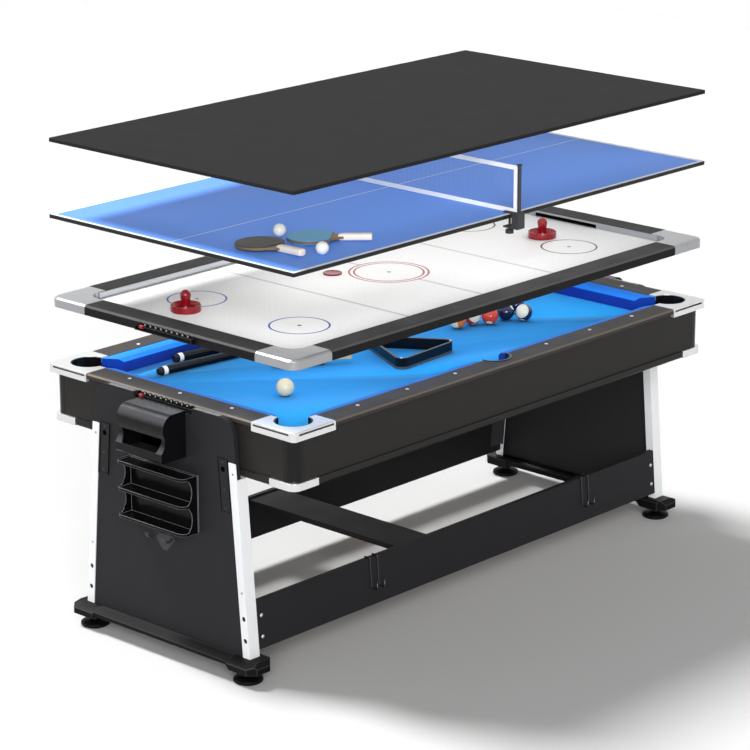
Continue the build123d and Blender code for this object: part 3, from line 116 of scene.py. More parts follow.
class Wire:
    """One output socket of a node tree. Arithmetic on it adds nodes that work it out."""

    def __init__(self, graph: "Graph", socket: bpy.types.NodeSocket) -> None:
        """Keep the graph and the socket."""
        self.graph = graph
        self.socket = socket

    def math(self, operation: str, *others: "Wire | float") -> "Wire":
        """Return the result of a sum on this wire and others."""
        return self.graph.out("ShaderNodeMath", {"operation": operation}, dict(enumerate((self, *others))))

    def __add__(self, other: "Wire | float") -> "Wire":
        """Add."""
        return self.math("ADD", other)

    def __sub__(self, other: "Wire | float") -> "Wire":
        """Subtract."""
        return self.math("SUBTRACT", other)

    def __rsub__(self, other: float) -> "Wire":
        """Subtract this wire from a number."""
        return self.graph.out("ShaderNodeMath", {"operation": "SUBTRACT"}, {0: other, 1: self})

    def __mul__(self, other: "Wire | float") -> "Wire":
        """Multiply."""
        return self.math("MULTIPLY", other)

    def __truediv__(self, other: "Wire | float") -> "Wire":
        """Divide."""
        return self.math("DIVIDE", other)

    def __abs__(self) -> "Wire":
        """Return the size without the sign."""
        return self.math("ABSOLUTE")

    def __gt__(self, other: "Wire | float") -> "Wire":
        """Return 1 where this is greater."""
        return self.math("GREATER_THAN", other)

    def __lt__(self, other: "Wire | float") -> "Wire":
        """Return 1 where this is less."""
        return self.math("LESS_THAN", other)

    def top(self, other: "Wire | float") -> "Wire":
        """Return the greater of two."""
        return self.math("MAXIMUM", other)

    def within(self, low: float, high: float) -> "Wire":
        """Return 1 between two limits."""
        return (self > low) * (self < high)

    def ease(self, low: float, high: float) -> "Wire":
        """Return 0 below a limit and 1 above another, smooth between them."""
        return self.graph.out(
            "ShaderNodeMapRange",
            {"interpolation_type": "SMOOTHSTEP"},
            {"Value": self, "From Min": low, "From Max": high},
        )

    __radd__ = __add__
    __rmul__ = __mul__


class Graph:
    """A node tree, and the one method that adds any node to it."""

    def __init__(self, tree: bpy.types.NodeTree) -> None:
        """Take an empty tree."""
        self.tree = tree
        tree.nodes.clear()

    def add(
        self,
        kind: str,
        settings: dict[str, object] | None = None,
        values: dict[str | int, object] | None = None,
    ) -> bpy.types.Node:
        """Add a node.

        Args:
            kind: The node's type.
            settings: What is set before the sockets.
            values: A value or a wire for each socket, by its name or number.

        Returns:
            The node.
        """
        node = self.tree.nodes.new(kind)
        for name, value in (settings or {}).items():
            setattr(node, name, value)
        for key, value in (values or {}).items():
            socket = node.inputs[key]
            if isinstance(value, Wire):
                self.tree.links.new(value.socket, socket)
            else:
                socket.default_value = value
        return node

    def out(
        self,
        kind: str,
        settings: dict[str, object] | None = None,
        values: dict[str | int, object] | None = None,
        output: str | int = 0,
    ) -> Wire:
        """Add a node and return one of its outputs."""
        return Wire(self, self.add(kind, settings, values).outputs[output])


class Paintwork(Graph):
    """The node tree of one material."""

    def __init__(self, name: str) -> None:
        """Make the material."""
        self.material = bpy.data.materials.new(name)
        self.material.use_nodes = True
        super().__init__(self.material.node_tree)

    def place(
        self,
        centre: Sequence[float] = (0, 0, 0),
        turn: Sequence[float] = (0, 0, 0),
        stretch: Sequence[float] = (1, 1, 1),
    ) -> Wire:
        """Return object coordinates from a centre, turned and stretched.

        Args:
            centre: The pattern's middle in metres.
            turn: Its turn in radians.
            stretch: How much longer it is along each axis.

        Returns:
            The coordinates.
        """
        coordinates = self.out("ShaderNodeTexCoord", output="Object")
        values = {"Vector": coordinates, "Location": centre, "Rotation": turn, "Scale": stretch}
        return self.out("ShaderNodeMapping", {"vector_type": "TEXTURE"}, values)

    def axes(self, vector: Wire) -> list[Wire]:
        """Split a vector into its three parts."""
        split = self.add("ShaderNodeSeparateXYZ", values={"Vector": vector})
        return [Wire(self, output) for output in split.outputs]

    def upward(self) -> Wire:
        """Return how far each face looks up, from -1 to 1."""
        return self.axes(self.out("ShaderNodeNewGeometry", output="Normal"))[2]

    def noise(self, vector: Wire, size: float, detail: float = 2.0) -> Wire:
        """Return soft noise whose features have about one size in metres."""
        values = {"Vector": vector, "Scale": 1 / size, "Detail": detail}
        return self.out("ShaderNodeTexNoise", values=values, output="Fac")

    def mix(self, share: Wire | float, first: object, second: object) -> Wire:
        """Mix two colours by a share."""
        values = {0: share, 6: first, 7: second}
        return self.out("ShaderNodeMix", {"data_type": "RGBA"}, values, output=2)

    def vary(self, colour: object, by: Wire, spread: float) -> Wire:
        """Make a colour lighter and darker by a noise.

        Args:
            colour: A colour or a wire of one.
            by: Noise from 0 to 1.
            spread: How much of its value the colour gains and loses.

        Returns:
            The varied colour.
        """
        grey = self.out("ShaderNodeCombineXYZ", values={i: 1 + (by - 0.5) * 2 * spread for i in range(3)})
        plain = colour if isinstance(colour, Wire) else colour[:3]
        return self.out("ShaderNodeVectorMath", {"operation": "MULTIPLY"}, {0: plain, 1: grey})

    def bump(self, height: Wire, depth: float, under: Wire | None = None) -> Wire:
        """Return the normal of a surface with small heights on it.

        Args:
            height: Heights from 0 to 1.
            depth: What a height of 1 is, in metres.
            under: The normal of a coarser bump below.

        Returns:
            The normal.
        """
        values = {"Height": height, "Distance": depth, "Strength": 1.0}
        if under is not None:
            values["Normal"] = under
        return self.out("ShaderNodeBump", values=values, output="Normal")

    def surface(
        self, colour: Wire, rough: Wire | float, normal: Wire, more: dict[str, object] | None = None
    ) -> bpy.types.Material:
        """Close the tree with a surface.

        Args:
            colour: Its colour.
            rough: Its roughness.
            normal: Its normal.
            more: Its other values, each by the socket's name.

        Returns:
            The material.
        """
        values = {"Base Color": colour, "Roughness": rough, "Normal": normal, **(more or {})}
        shader = self.out("ShaderNodeBsdfPrincipled", values=values)
        self.add("ShaderNodeOutputMaterial", values={"Surface": shader})
        return self.material


@dataclass(frozen=True)
class Finish:
    """What every finish has: a name, and the record's slot it stands for."""

    name: str
    slot: str

    def material(self) -> bpy.types.Material:
        """Return the finish's material, made once."""
        return bpy.data.materials.get(self.name) or self.make()

    def make(self) -> bpy.types.Material:
        """Make the material."""
        raise NotImplementedError


@dataclass(frozen=True)
class Moulded(Finish):
    """Moulded plastic, paint or metal, with fine grain, uneven gloss and rubbed spots.

    Its grain is a bump with features of one size, its mottle a change of colour in slow clouds,
    and its painted highlight a lighter colour laid where a roll turns upwards, for the light on the roll.
    """

    colour: Colour
    gloss: float = 0.4
    metallic: float = 0.0
    grain: float = 0.9 * MM
    depth: float = 0.02 * MM
    mottle: float = 0.05
    coat: float = 0.0
    specular: float = 0.5
    stretch: tuple[float, float, float] = (1, 1, 1)
    # A painted highlight colour for rolls that turn upwards, or none.
    painted_roll_highlight: Colour | None = None
    cloud: float = 70 * MM
    rub: float = 18 * MM

    def make(self) -> bpy.types.Material:
        """Make the material."""
        work = Paintwork(self.name)
        flat = work.place()
        run = work.place(stretch=self.stretch)
        slow = work.noise(flat, self.cloud, 3)
        fine = work.noise(run, self.grain, 3)
        rubbed = work.noise(flat, self.rub, 4).ease(0.56, 0.72)
        colour = work.vary(self.colour, slow * 0.6 + fine * 0.4, self.mottle)
        if self.painted_roll_highlight:
            # Painted highlight: faces turning upwards take a lighter colour, fading again where they face straight
            # up.
            upward = work.upward()
            colour = work.mix(upward.ease(0.1, 0.6) * (1.0 - upward.ease(0.72, 0.99) * 0.6), colour, self.painted_roll_highlight)
        rough = self.gloss + (slow - 0.5) * 0.12 + rubbed * 0.06 + (fine - 0.5) * 0.08
        gleam = {
            "Metallic": self.metallic,
            "Specular IOR Level": self.specular,
            "Coat Weight": self.coat,
            "Coat Roughness": 0.15,
        }
        return work.surface(colour, rough, work.bump(fine, self.depth), gleam)


@dataclass(frozen=True)
class Laminate(Finish):
    """Dark foil on board: long faint grain, a leathery print, light scuffs and a painted highlight on its sloping
    eased edges.
    """

    colour: Colour
    gloss: float = 0.42
    run: tuple[float, float, float] = (14, 1, 1)
    specular: float = 0.25
    # A painted highlight colour for faces that slope upwards, such as eased edges, or none.
    painted_bevel_highlight: Colour | None = None
    streak: float = 6 * MM
    leather: float = 0.7 * MM
    cloud: float = 120 * MM
    scratch: float = 2.5 * MM

    def make(self) -> bpy.types.Material:
        """Make the material."""
        work = Paintwork(self.name)
        flat = work.place()
        streaks = work.noise(work.place(stretch=self.run), self.streak, 4)
        print_height = work.noise(flat, self.leather, 2)
        slow = work.noise(flat, self.cloud, 2)
        scuff = work.noise(work.place(turn=(0, 0, 0.5), stretch=(9, 1, 1)), self.scratch, 2).ease(0.7, 0.8)
        colour = work.vary(self.colour, streaks * 0.7 + slow * 0.3, 0.14)
        colour = work.mix(scuff * 0.12, colour, shade(self.colour, 2.2))
        if self.painted_bevel_highlight:
            # Painted highlight: faces that slope between flat and upright take a lighter colour.
            colour = work.mix(work.upward().within(0.35, 0.94), colour, self.painted_bevel_highlight)
        rough = self.gloss + (slow - 0.5) * 0.16 + (print_height - 0.5) * 0.1 - scuff * 0.08
        normal = work.bump(streaks, 0.03 * MM, work.bump(print_height, 0.04 * MM))
        return work.surface(colour, rough, normal, {"Specular IOR Level": self.specular})


@dataclass(frozen=True)
class Felt(Finish):
    """Napped pool cloth: a fine twill under short brushed fibres, with a painted shade that darkens upright faces."""

    colour: Colour
    # The painted shade colour of upright faces, darker than the top.
    side: Colour
    fibre: float = 0.5 * MM
    brushing: float = 16 * MM
    cloud: float = 260 * MM
    thread: float = 0.9 * MM

    def make(self) -> bpy.types.Material:
        """Make the material."""
        work = Paintwork(self.name)
        flat = work.place()
        nap = work.noise(work.place(turn=(0, 0, 0.3), stretch=(3, 1, 1)), self.fibre, 3)
        brushed = work.noise(work.place(stretch=(6, 1, 1)), self.brushing, 3)
        slow = work.noise(flat, self.cloud, 2)
        across = work.axes(work.place(turn=(0, 0, 0.78)))[0]
        twill = (across * (TURN / self.thread)).math("SINE")
        # Painted shade: upright faces take the darker side colour, faces looking up the top colour.
        tone = work.mix(work.upward().ease(0.25, 0.7), self.side, self.colour)
        colour = work.vary(tone, nap * 0.5 + brushed * 0.3 + slow * 0.2, 0.1)
        normal = work.bump(nap * 0.7 + twill * 0.15, 0.12 * MM)
        fuzz = {"Specular IOR Level": 0.05, "Sheen Weight": 0.06, "Sheen Roughness": 0.5}
        return work.surface(colour, 0.86 + (brushed - 0.5) * 0.12, normal, fuzz)


@dataclass(frozen=True)
class AirBedFace(Finish):
    """The white air hockey bed with its printed rings, lines and spots."""

    colour: Colour
    ring_x: float = 650 * MM
    ring_y: float = 225 * MM
    ring_radius: float = 93 * MM
    centre_radii: tuple[float, float] = (130 * MM, 114 * MM)
    line_x: float = 350 * MM
    stroke: float = 12 * MM
    ring_stroke: float = 6 * MM
    spot_radius: float = 7 * MM
    line_tone: Colour = paint(198, 198, 200)
    middle_tone: Colour = paint(160, 30, 46)
    near_tone: Colour = paint(52, 76, 160)
    far_tone: Colour = paint(52, 54, 60)
    spot_tone: Colour = paint(92, 94, 98)

    def make(self) -> bpy.types.Material:
        """Make the material."""
        work = Paintwork(self.name)
        flat = work.place()
        x, y, _ = work.axes(flat)
        spot_x, spot_y = abs(x) - self.ring_x, abs(y) - self.ring_y
        from_spot = self.reach(spot_x, spot_y)
        from_middle = self.reach(x, y)
        half = self.stroke / 2
        thick = self.ring_stroke / 2
        rings = abs(from_spot - self.ring_radius) < thick
        wide, narrow = self.centre_radii
        middle = (abs(from_middle - wide) < thick).top(abs(from_middle - narrow) < thick)
        outside = from_middle > wide
        lines = ((abs(x) < half) * outside).top(abs(abs(x) - self.line_x) < half)
        spots = (from_spot < self.spot_radius).top(from_middle < self.spot_radius)
        colour = work.vary(self.colour, work.noise(flat, 90 * MM, 3), 0.02)
        for share, tone in (
            (lines, self.line_tone),
            (middle, self.middle_tone),
            (rings * (x < 0), self.near_tone),
            (rings * (x > 0), self.far_tone),
            (spots, self.spot_tone),
        ):
            colour = work.mix(share, colour, tone)
        rough = 0.4 + work.noise(flat, 9 * MM, 3) * 0.1
        normal = work.bump(work.noise(flat, 3 * MM, 2), 0.01 * MM)
        return work.surface(colour, rough, normal, {"Specular IOR Level": 0.3})

    @staticmethod
    def reach(x: Wire, y: Wire) -> Wire:
        """Return the distance from two parts."""
        return (x * x + y * y).math("SQRT")


@dataclass(frozen=True)
class TennisFace(Finish):
    """Matt blue top with white lines, the black edging round it and a pale underside."""

    colour: Colour
    half_x: float
    half_y: float
    underside: Colour = (0.55, 0.55, 0.54, 1.0)
    white: Colour = paint(226, 232, 240)
    border: Colour = paint(22, 22, 24)
    edging: float = 3 * MM
    side_line: float = 13 * MM
    middle_line: float = 3.4 * MM

    def make(self) -> bpy.types.Material:
        """Make the material."""
        work = Paintwork(self.name)
        flat = work.place()
        x, y, _ = work.axes(flat)
        inset = (self.half_x - abs(x)).math("MINIMUM", self.half_y - abs(y))
        fine = work.noise(flat, 1.1 * MM, 3)
        slow = work.noise(flat, 180 * MM, 3)
        colour = work.vary(self.colour, slow * 0.5 + fine * 0.5, 0.05)
        lines = inset.within(self.edging, self.edging + self.side_line).top(abs(y) < self.middle_line / 2)
        colour = work.mix(lines, colour, self.white)
        colour = work.mix(inset < self.edging, colour, self.border)
        colour = work.mix(work.upward() < -0.5, colour, self.underside)
        rough = 0.5 + (slow - 0.5) * 0.12 + (fine - 0.5) * 0.1
        normal = work.bump(work.noise(flat, 2.2 * MM, 3), 0.04 * MM)
        return work.surface(colour, rough, normal, {"Specular IOR Level": 0.2})


@dataclass(frozen=True)
class BallFace(Finish):
    """Polished balls: plain or striped, each with a white spot for its number.

    The mesh carries each ball's own directions, its tint and whether it is striped. The caps
    and the spots begin at a share of the radius.
    """

    ivory: Colour = paint(234, 226, 202)
    cap: float = 0.56
    spot: float = 0.905

    def make(self) -> bpy.types.Material:
        """Make the material."""
        work = Paintwork(self.name)
        way = work.out("ShaderNodeAttribute", {"attribute_name": "way"}, output="Vector")
        tint = work.out("ShaderNodeAttribute", {"attribute_name": "tint"}, output="Color")
        striped = work.out("ShaderNodeAttribute", {"attribute_name": "striped"}, output="Fac")
        x, _, z = work.axes(way)
        caps = (abs(z) > self.cap) * striped
        spots = abs(x) > self.spot
        flat = work.place()
        slow = work.noise(flat, 14 * MM, 3)
        colour = work.vary(work.mix(caps.top(spots), tint, self.ivory), slow, 0.03)
        normal = work.bump(work.noise(flat, 2 * MM, 2), 0.002 * MM)
        return work.surface(colour, 0.09 + slow * 0.06, normal, {"Coat Weight": 0.5, "Coat Roughness": 0.04})


@dataclass(frozen=True)
class CueFace(Finish):
    """A lacquered cue: black butt with a white ring, pale shaft, ferrule and tip.

    Each part begins at a share of the cue's length.
    """

    bumper: float = 0.0098
    ring: tuple[float, float] = (0.014, 0.027)
    collar: tuple[float, float] = (0.56, 0.568)
    ferrule: float = 0.982
    tip: float = 0.992
    ash: Colour = paint(206, 170, 118)
    black: Colour = paint(9, 9, 11)
    white: Colour = paint(232, 230, 222)
    chalked: Colour = paint(44, 84, 128)
    rubber: Colour = paint(26, 26, 27)

    def make(self) -> bpy.types.Material:
        """Make the material."""
        work = Paintwork(self.name)
        along = work.out("ShaderNodeAttribute", {"attribute_name": "along"}, output="Fac")
        flat = work.place()
        grain = work.noise(work.place(turn=(0, 0, -0.1), stretch=(30, 1, 1)), 1.4 * MM, 3)
        wood = work.vary(self.ash, grain, 0.14)
        colour = work.mix(along < self.collar[0], wood, work.vary(self.black, grain, 0.1))
        rings = along.within(*self.ring).top(along > self.ferrule).top(along.within(*self.collar))
        colour = work.mix(rings, colour, self.white)
        colour = work.mix(along > self.tip, colour, self.chalked)
        colour = work.mix(along < self.bumper, colour, self.rubber)
        rough = 0.16 + work.noise(flat, 30 * MM, 2) * 0.04
        return work.surface(colour, rough, work.bump(grain, 0.002 * MM), {"Specular IOR Level": 0.3})


@dataclass(frozen=True)
class Timber(Finish):
    """Sanded wood with its grain along one direction in the plane of the table."""

    colour: Colour
    heading: float
    gloss: float = 0.45
    grain: float = 1.6 * MM
    ring: float = 9 * MM

    def make(self) -> bpy.types.Material:
        """Make the material."""
        work = Paintwork(self.name)
        grain = work.noise(work.place(turn=(0, 0, self.heading), stretch=(22, 1, 1)), self.grain, 4)
        rings = work.noise(work.place(turn=(0, 0, self.heading), stretch=(12, 1, 1)), self.ring, 2)
        slow = work.noise(work.place(), 24 * MM, 2)
        colour = work.vary(self.colour, grain * 0.5 + rings * 0.5, 0.26)
        return work.surface(colour, self.gloss + (slow - 0.5) * 0.15, work.bump(grain, 0.05 * MM))


@dataclass(frozen=True)
class Pimpled(Finish):
    """Sheet rubber with a fine regular pimple under its skin."""

    colour: Colour
    gloss: float = 0.5
    pimple: float = 1.9 * MM

    def make(self) -> bpy.types.Material:
        """Make the material."""
        work = Paintwork(self.name)
        flat = work.place(turn=(0, 0, 0.4))
        cells = work.out("ShaderNodeTexVoronoi", values={"Vector": flat, "Scale": 1 / self.pimple})
        slow = work.noise(flat, 30 * MM, 3)
        colour = work.vary(self.colour, slow, 0.1)
        rough = self.gloss + (slow - 0.5) * 0.2
        return work.surface(colour, rough, work.bump(1 - cells, 0.06 * MM), {"Specular IOR Level": 0.35})


FINISHES: dict[str, Finish] = {
    finish.name: finish
    for finish in (
        # The lighter last colour of the rail and deck laminates is a painted highlight on their bevels.
        Laminate("rail_laminate", "dark_laminate", paint(50, 46, 44), 0.46, specular=0.12, painted_bevel_highlight=paint(100, 93, 84)),
        Laminate("deck_laminate", "dark_laminate", paint(24, 23, 25), 0.46, specular=0.06, painted_bevel_highlight=paint(78, 77, 76)),
        Laminate("apron_laminate", "dark_laminate", paint(37, 36, 35), 0.5, specular=0.1),
        Laminate("panel_board", "panel_laminate", paint(34, 34, 36), 0.54, run=(1, 1, 14), specular=0.1),
        Laminate("stretcher_laminate", "panel_laminate", paint(31, 30, 32), 0.54, specular=0.1),
        Laminate("dining_board", "dining_laminate", paint(38, 38, 39), 0.75, specular=0.02),
        # Each felt's second colour is the painted shade of its upright faces.
        Felt("pool_felt", "pool_cloth", paint(46, 170, 244), paint(18, 72, 180)),
        Felt("cushion_felt", "cushion_rubber", paint(38, 128, 228), paint(16, 56, 152)),
        Moulded("bed_board_raw", "bed_board", paint(128, 108, 84), 0.8, mottle=0.15),
        Moulded("bright_casting", "silver_plastic", paint(214, 214, 214), 0.16, metallic=0.7, grain=3 * MM,
                depth=0.01 * MM, mottle=0.03),
        Moulded("satin_casting", "satin_silver", paint(158, 159, 162), 0.3, metallic=0.8, grain=1.2 * MM),
        Moulded("gloss_black", "black_plastic", paint(13, 13, 15), 0.22, grain=1.6 * MM, depth=0.006 * MM,
                mottle=0.04, specular=0.2),
        # The hood's lighter colour on its roll is a painted highlight.
        Moulded("hood_black", "black_plastic", paint(12, 12, 14), 0.2, grain=1.6 * MM, depth=0.006 * MM,
                mottle=0.04, specular=0.14, painted_roll_highlight=paint(62, 62, 65)),
        Moulded("rack_black", "black_plastic", paint(9, 9, 10), 0.22, grain=1.6 * MM, depth=0.006 * MM,
                mottle=0.04, specular=0.12),
        Moulded("matt_black", "matt_black", paint(16, 16, 18), 0.5, grain=0.8 * MM, depth=0.03 * MM,
                mottle=0.08, specular=0.12),
        Moulded("post_paint", "white_metal", paint(214, 216, 218), 0.34, grain=2 * MM, mottle=0.03, coat=0.3),
        Moulded("foot_moulding", "matt_black", paint(8, 8, 9), 0.45, grain=1.0 * MM, mottle=0.06, specular=0.08),
        # The three edge finishes below are painted highlights: lighter colours laid on eased edges and the triangle's
        # band.
        Moulded("plastic_edge_highlight", "black_plastic", paint(76, 76, 79), 0.25, grain=1.2 * MM, depth=0.01 * MM,
                specular=0.4),
        Moulded("rack_edge_highlight", "black_plastic", paint(126, 126, 130), 0.3, grain=1.2 * MM, depth=0.01 * MM,
                specular=0.3),
        Moulded("foot_edge_highlight", "matt_black", paint(40, 40, 42), grain=1.2 * MM, depth=0.01 * MM, specular=0.15),
        # A near-black painted shade for the inside of holes.
        Moulded("painted_hole_shade", "matt_black", paint(5, 5, 6), 0.8, grain=1.2 * MM, depth=0.01 * MM, specular=0.0),
        Moulded("hook_wire", "steel", paint(74, 74, 78), 0.3, metallic=1.0, grain=0.5 * MM, depth=0.01 * MM,
                mottle=0.06),
        Moulded("bright_steel", "steel", paint(196, 198, 202), 0.28, metallic=1.0, grain=0.5 * MM,
                depth=0.01 * MM, mottle=0.06),
        Moulded("brushed_strip", "aluminium", paint(172, 174, 178), 0.32, metallic=0.9, grain=0.6 * MM),
        Moulded("sight_shell", "sight_white", paint(232, 232, 228), 0.25, mottle=0.03),
        Moulded("bead_shell", "sight_white", paint(150, 147, 140), 0.3, mottle=0.06, specular=0.3),
        Moulded("marker_shell", "marker_red", paint(140, 24, 40), 0.3, mottle=0.04, specular=0.3),
        Moulded("striker_shell", "striker_red", paint(128, 10, 24), 0.2, grain=1.2 * MM, depth=0.01 * MM,
                mottle=0.06, coat=0.2, specular=0.35),
        Moulded("hole_shade", "air_white", paint(70, 72, 76), 0.6),
        Moulded("net_tape", "net_white", paint(250, 250, 250), 0.8, grain=0.5 * MM, depth=0.05 * MM, mottle=0.02),
        Moulded("net_twine", "net_cord", paint(112, 142, 200), 0.8, grain=0.4 * MM, depth=0.05 * MM),
        Moulded("celluloid_shell", "celluloid", paint(236, 236, 232), grain=0.6 * MM, depth=0.01 * MM, mottle=0.02),
        Moulded("cue_ball_resin", "ball_resin", paint(228, 214, 178), 0.12, grain=2 * MM, depth=0.004 * MM,
                mottle=0.03, coat=0.2, specular=0.4),
        Moulded("handle_cream", "brush_wood", paint(236, 226, 214), grain=1.2 * MM, depth=0.03 * MM),
        Pimpled("black_rubber", "bat_black", paint(52, 53, 47)),
        Pimpled("blue_rubber", "bat_blue", paint(86, 158, 198)),
        BallFace("ball_face", "ball_resin"),
        CueFace("cue_face", "cue_wood"),
        Timber("brush_timber", "brush_wood", paint(206, 186, 140), math.radians(-35.5)),
        Timber("bat_plies", "brush_wood", paint(118, 92, 62), math.radians(-92)),
        Moulded("bristle_fibre", "bristle", paint(30, 27, 25), 0.6, grain=0.5 * MM, mottle=0.2),
    )
}


def new_piece(name: str, data: bpy.types.ID) -> bpy.types.Object:
    """Put a mesh, a lamp or a camera into the scene at the origin."""
    piece = bpy.data.objects.new(name, data)
    bpy.context.scene.collection.objects.link(piece)
    return piece


def from_bmesh(name: str, bm: bmesh.types.BMesh, outward: bool = True) -> bpy.types.Object:
    """Turn a bmesh into a smooth shaded piece.

    Args:
        name: The piece's name.
        bm: The faces, which are freed here.
        outward: Whether the faces are turned outwards first.

    Returns:
        The piece.
    """
    if outward:
        bmesh.ops.remove_doubles(bm, verts=bm.verts, dist=0.001 * MM)
        bmesh.ops.recalc_face_normals(bm, faces=bm.faces)
    mesh = bpy.data.meshes.new(name)
    bm.to_mesh(mesh)
    bm.free()
    mesh.polygons.foreach_set("use_smooth", [True] * len(mesh.polygons))
    return new_piece(name, mesh)


def round_edges(piece: bpy.types.Object, width: float, segments: int) -> None:
    """Give a piece's hard edges a small round, with even shading on its flats."""
    bevel = piece.modifiers.new("Edges", "BEVEL")
    bevel.width = width
    bevel.segments = segments
    bevel.limit_method = "ANGLE"
    bevel.angle_limit = math.radians(32)
    bevel.harden_normals = True
    bevel.use_clamp_overlap = True
    bevel.miter_outer = "MITER_ARC"


def arc(centre: Point, radius: float, start: float, stop: float, steps: int) -> list[Point]:
    """Return points on an arc, its ends among them, with angles in degrees."""
    angles = [math.radians(start + (stop - start) * i / steps) for i in range(steps + 1)]
    return [(centre[0] + radius * math.cos(a), centre[1] + radius * math.sin(a)) for a in angles]


def rounded(corners: Sequence[tuple[float, float, float]], steps: int = 8) -> list[Point]:
    """Round the corners of an outline.

    Args:
        corners: Each corner's place and radius, where 0 keeps it sharp.
        steps: The number of flats on a quarter turn.

    Returns:
        The outline's points.
    """
    outline: list[Point] = []
    for i, (x, y, radius) in enumerate(corners):
        here = Vector((x, y))
        before = (Vector(corners[i - 1][:2]) - here).normalized()
        after = (Vector(corners[(i + 1) % len(corners)][:2]) - here).normalized()
        if radius <= 0:
            outline.append((x, y))
            continue
        half = before.angle(after) / 2
        centre = here + (before + after).normalized() * radius / math.sin(half)
        first = here + before * radius / math.tan(half) - centre
        last = here + after * radius / math.tan(half) - centre
        sweep = first.angle_signed(last)
        count = max(2, round(steps * abs(sweep) / (math.pi / 2)))
        for k in range(count + 1):
            turned = Matrix.Rotation(-sweep * k / count, 2) @ first
            outline.append(tuple(centre + turned))
    return outline


def prism(
    bm: bmesh.types.BMesh,
    outline: Sequence[Point],
    low: float,
    high: float,
    to: Matrix | None = None,
    holes: Sequence[Sequence[Point]] = (),
) -> None:
    """Add an outline drawn out between two levels, with holes through it.

    Args:
        bm: Where the faces go.
        outline: The outer outline.
        low: The lower level.
        high: The upper level.
        to: Where the prism is placed.
        holes: The outlines of the holes.
    """
    place = to or Matrix.Identity(4)
    loops = [list(outline), *[list(hole) for hole in holes]]
    rings = [[[bm.verts.new(place @ Vector((x, y, z))) for x, y in loop] for z in (low, high)] for loop in loops]
    for ring_low, ring_high in rings:
        for i in range(len(ring_low)):
            bm.faces.new((ring_low[i - 1], ring_low[i], ring_high[i], ring_high[i - 1]))
    if not holes:
        bm.faces.new(rings[0][0])
        bm.faces.new(rings[0][1])
        return
    flat = [[Vector((x, y, 0)) for x, y in loop] for loop in loops]
    triangles = geometry.tessellate_polygon(flat)
    for level in (0, 1):
        verts = [vert for pair in rings for vert in pair[level]]
        faces = [bm.faces.new([verts[i] for i in corner]) for corner in triangles]
        edges = {edge for face in faces for edge in face.edges}
        bmesh.ops.dissolve_limit(bm, angle_limit=math.radians(0.2), verts=verts, edges=list(edges))


def lathe(bm: bmesh.types.BMesh, profile: Sequence[Point], to: Matrix, steps: int = 48) -> None:
    """Add a profile of radius and height turned round an axis, closed at its ends.

    Args:
        bm: Where the faces go.
        profile: Points from one end of the axis to the other.
        to: Where the axis is placed.
        steps: The number of flats round it.
    """
    rings: list[list[bmesh.types.BMVert]] = []
    for radius, height in profile:
        if radius <= 0:
            rings.append([bm.verts.new(to @ Vector((0, 0, height)))] * steps)
            continue
        turns = [TURN * i / steps for i in range(steps)]
        spots = [Vector((radius * math.cos(a), radius * math.sin(a), height)) for a in turns]
        rings.append([bm.verts.new(to @ spot) for spot in spots])
    for low, high in zip(rings, rings[1:]):
        for i in range(steps):
            corner = list(dict.fromkeys((low[i - 1], low[i], high[i], high[i - 1])))
            if len(corner) > 2:
                bm.faces.new(corner)


def loft(bm: bmesh.types.BMesh, rings: Sequence[Sequence[Vector]]) -> None:
    """Add a skin through closed rings of equal length, closed at both ends."""
    made = [[bm.verts.new(spot) for spot in ring] for ring in rings]
    for low, high in zip(made, made[1:]):
        for i in range(len(low)):
            bm.faces.new((low[i - 1], low[i], high[i], high[i - 1]))
    bm.faces.new(made[0])
    bm.faces.new(made[-1])


def soft_box(half_width: float, half_height: float, power: float = 0.6, steps: int = 28) -> list[Point]:
    """Return a rounded box outline, squarer with a lower power."""
    outline = []
    for i in range(steps):
        across, up = math.cos(TURN * i / steps), math.sin(TURN * i / steps)
        x, y = math.copysign(abs(across) ** power, across), math.copysign(abs(up) ** power, up)
        outline.append((half_width * x, half_height * y))
    return outline


def block(bm: bmesh.types.BMesh, low: Sequence[float], high: Sequence[float]) -> None:
    """Add a bar between two opposite corners, given in any order."""
    near, far = ([pick(pair) for pair in zip(low, high)] for pick in (min, max))
    outline = [(near[0], near[1]), (far[0], near[1]), (far[0], far[1]), (near[0], far[1])]
    prism(bm, outline, near[2], far[2])


@dataclass(frozen=True)
class Round:
    """A round face of a CAD node, along one axis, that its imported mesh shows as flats."""

    axis: Axis
    centre: Point
    radius: float

    def offset(self, spot: Vector) -> Vector:
        """Return a point's offset from the axis, in the plane across it."""
        _, first, second = self.axis.value
        return Vector((spot[first] - self.centre[0], spot[second] - self.centre[1]))

    def bend(self, bm: bmesh.types.BMesh, cuts: int) -> None:
        """Divide the flats across the round and move the new points onto it.

        Args:
            bm: The node's merged faces.
            cuts: How many cuts each flat gets.
        """
        slack = 0.05 * MM
        shortest, longest, inmost = (self.radius * share for share in (0.05, 0.62, 0.94))
        on_face = {v for v in bm.verts if abs(self.offset(v.co).length - self.radius) < slack}
        chords = []
        for edge in bm.edges:
            first, second = edge.verts
            if first in on_face and second in on_face:
                span = (self.offset(first.co) - self.offset(second.co)).length
                if shortest < span < longest:
                    chords.append(edge)
        old = set(bm.verts)
        bmesh.ops.subdivide_edges(bm, edges=chords, cuts=cuts, use_grid_fill=True)
        _, first_axis, second_axis = self.axis.value
        for vert in bm.verts:
            offset = self.offset(vert.co)
            if vert not in old and inmost < offset.length < self.radius + slack:
                offset *= self.radius / offset.length
                vert.co[first_axis] = self.centre[0] + offset.x
                vert.co[second_axis] = self.centre[1] + offset.y


def four_rounds(x: float, y: float, *radii: float) -> list[Round]:
    """Return upright rounds at the four corners of the table."""
    return [Round(Axis.Z, (end * x, side * y), radius) for end, side in CORNERS for radius in radii]


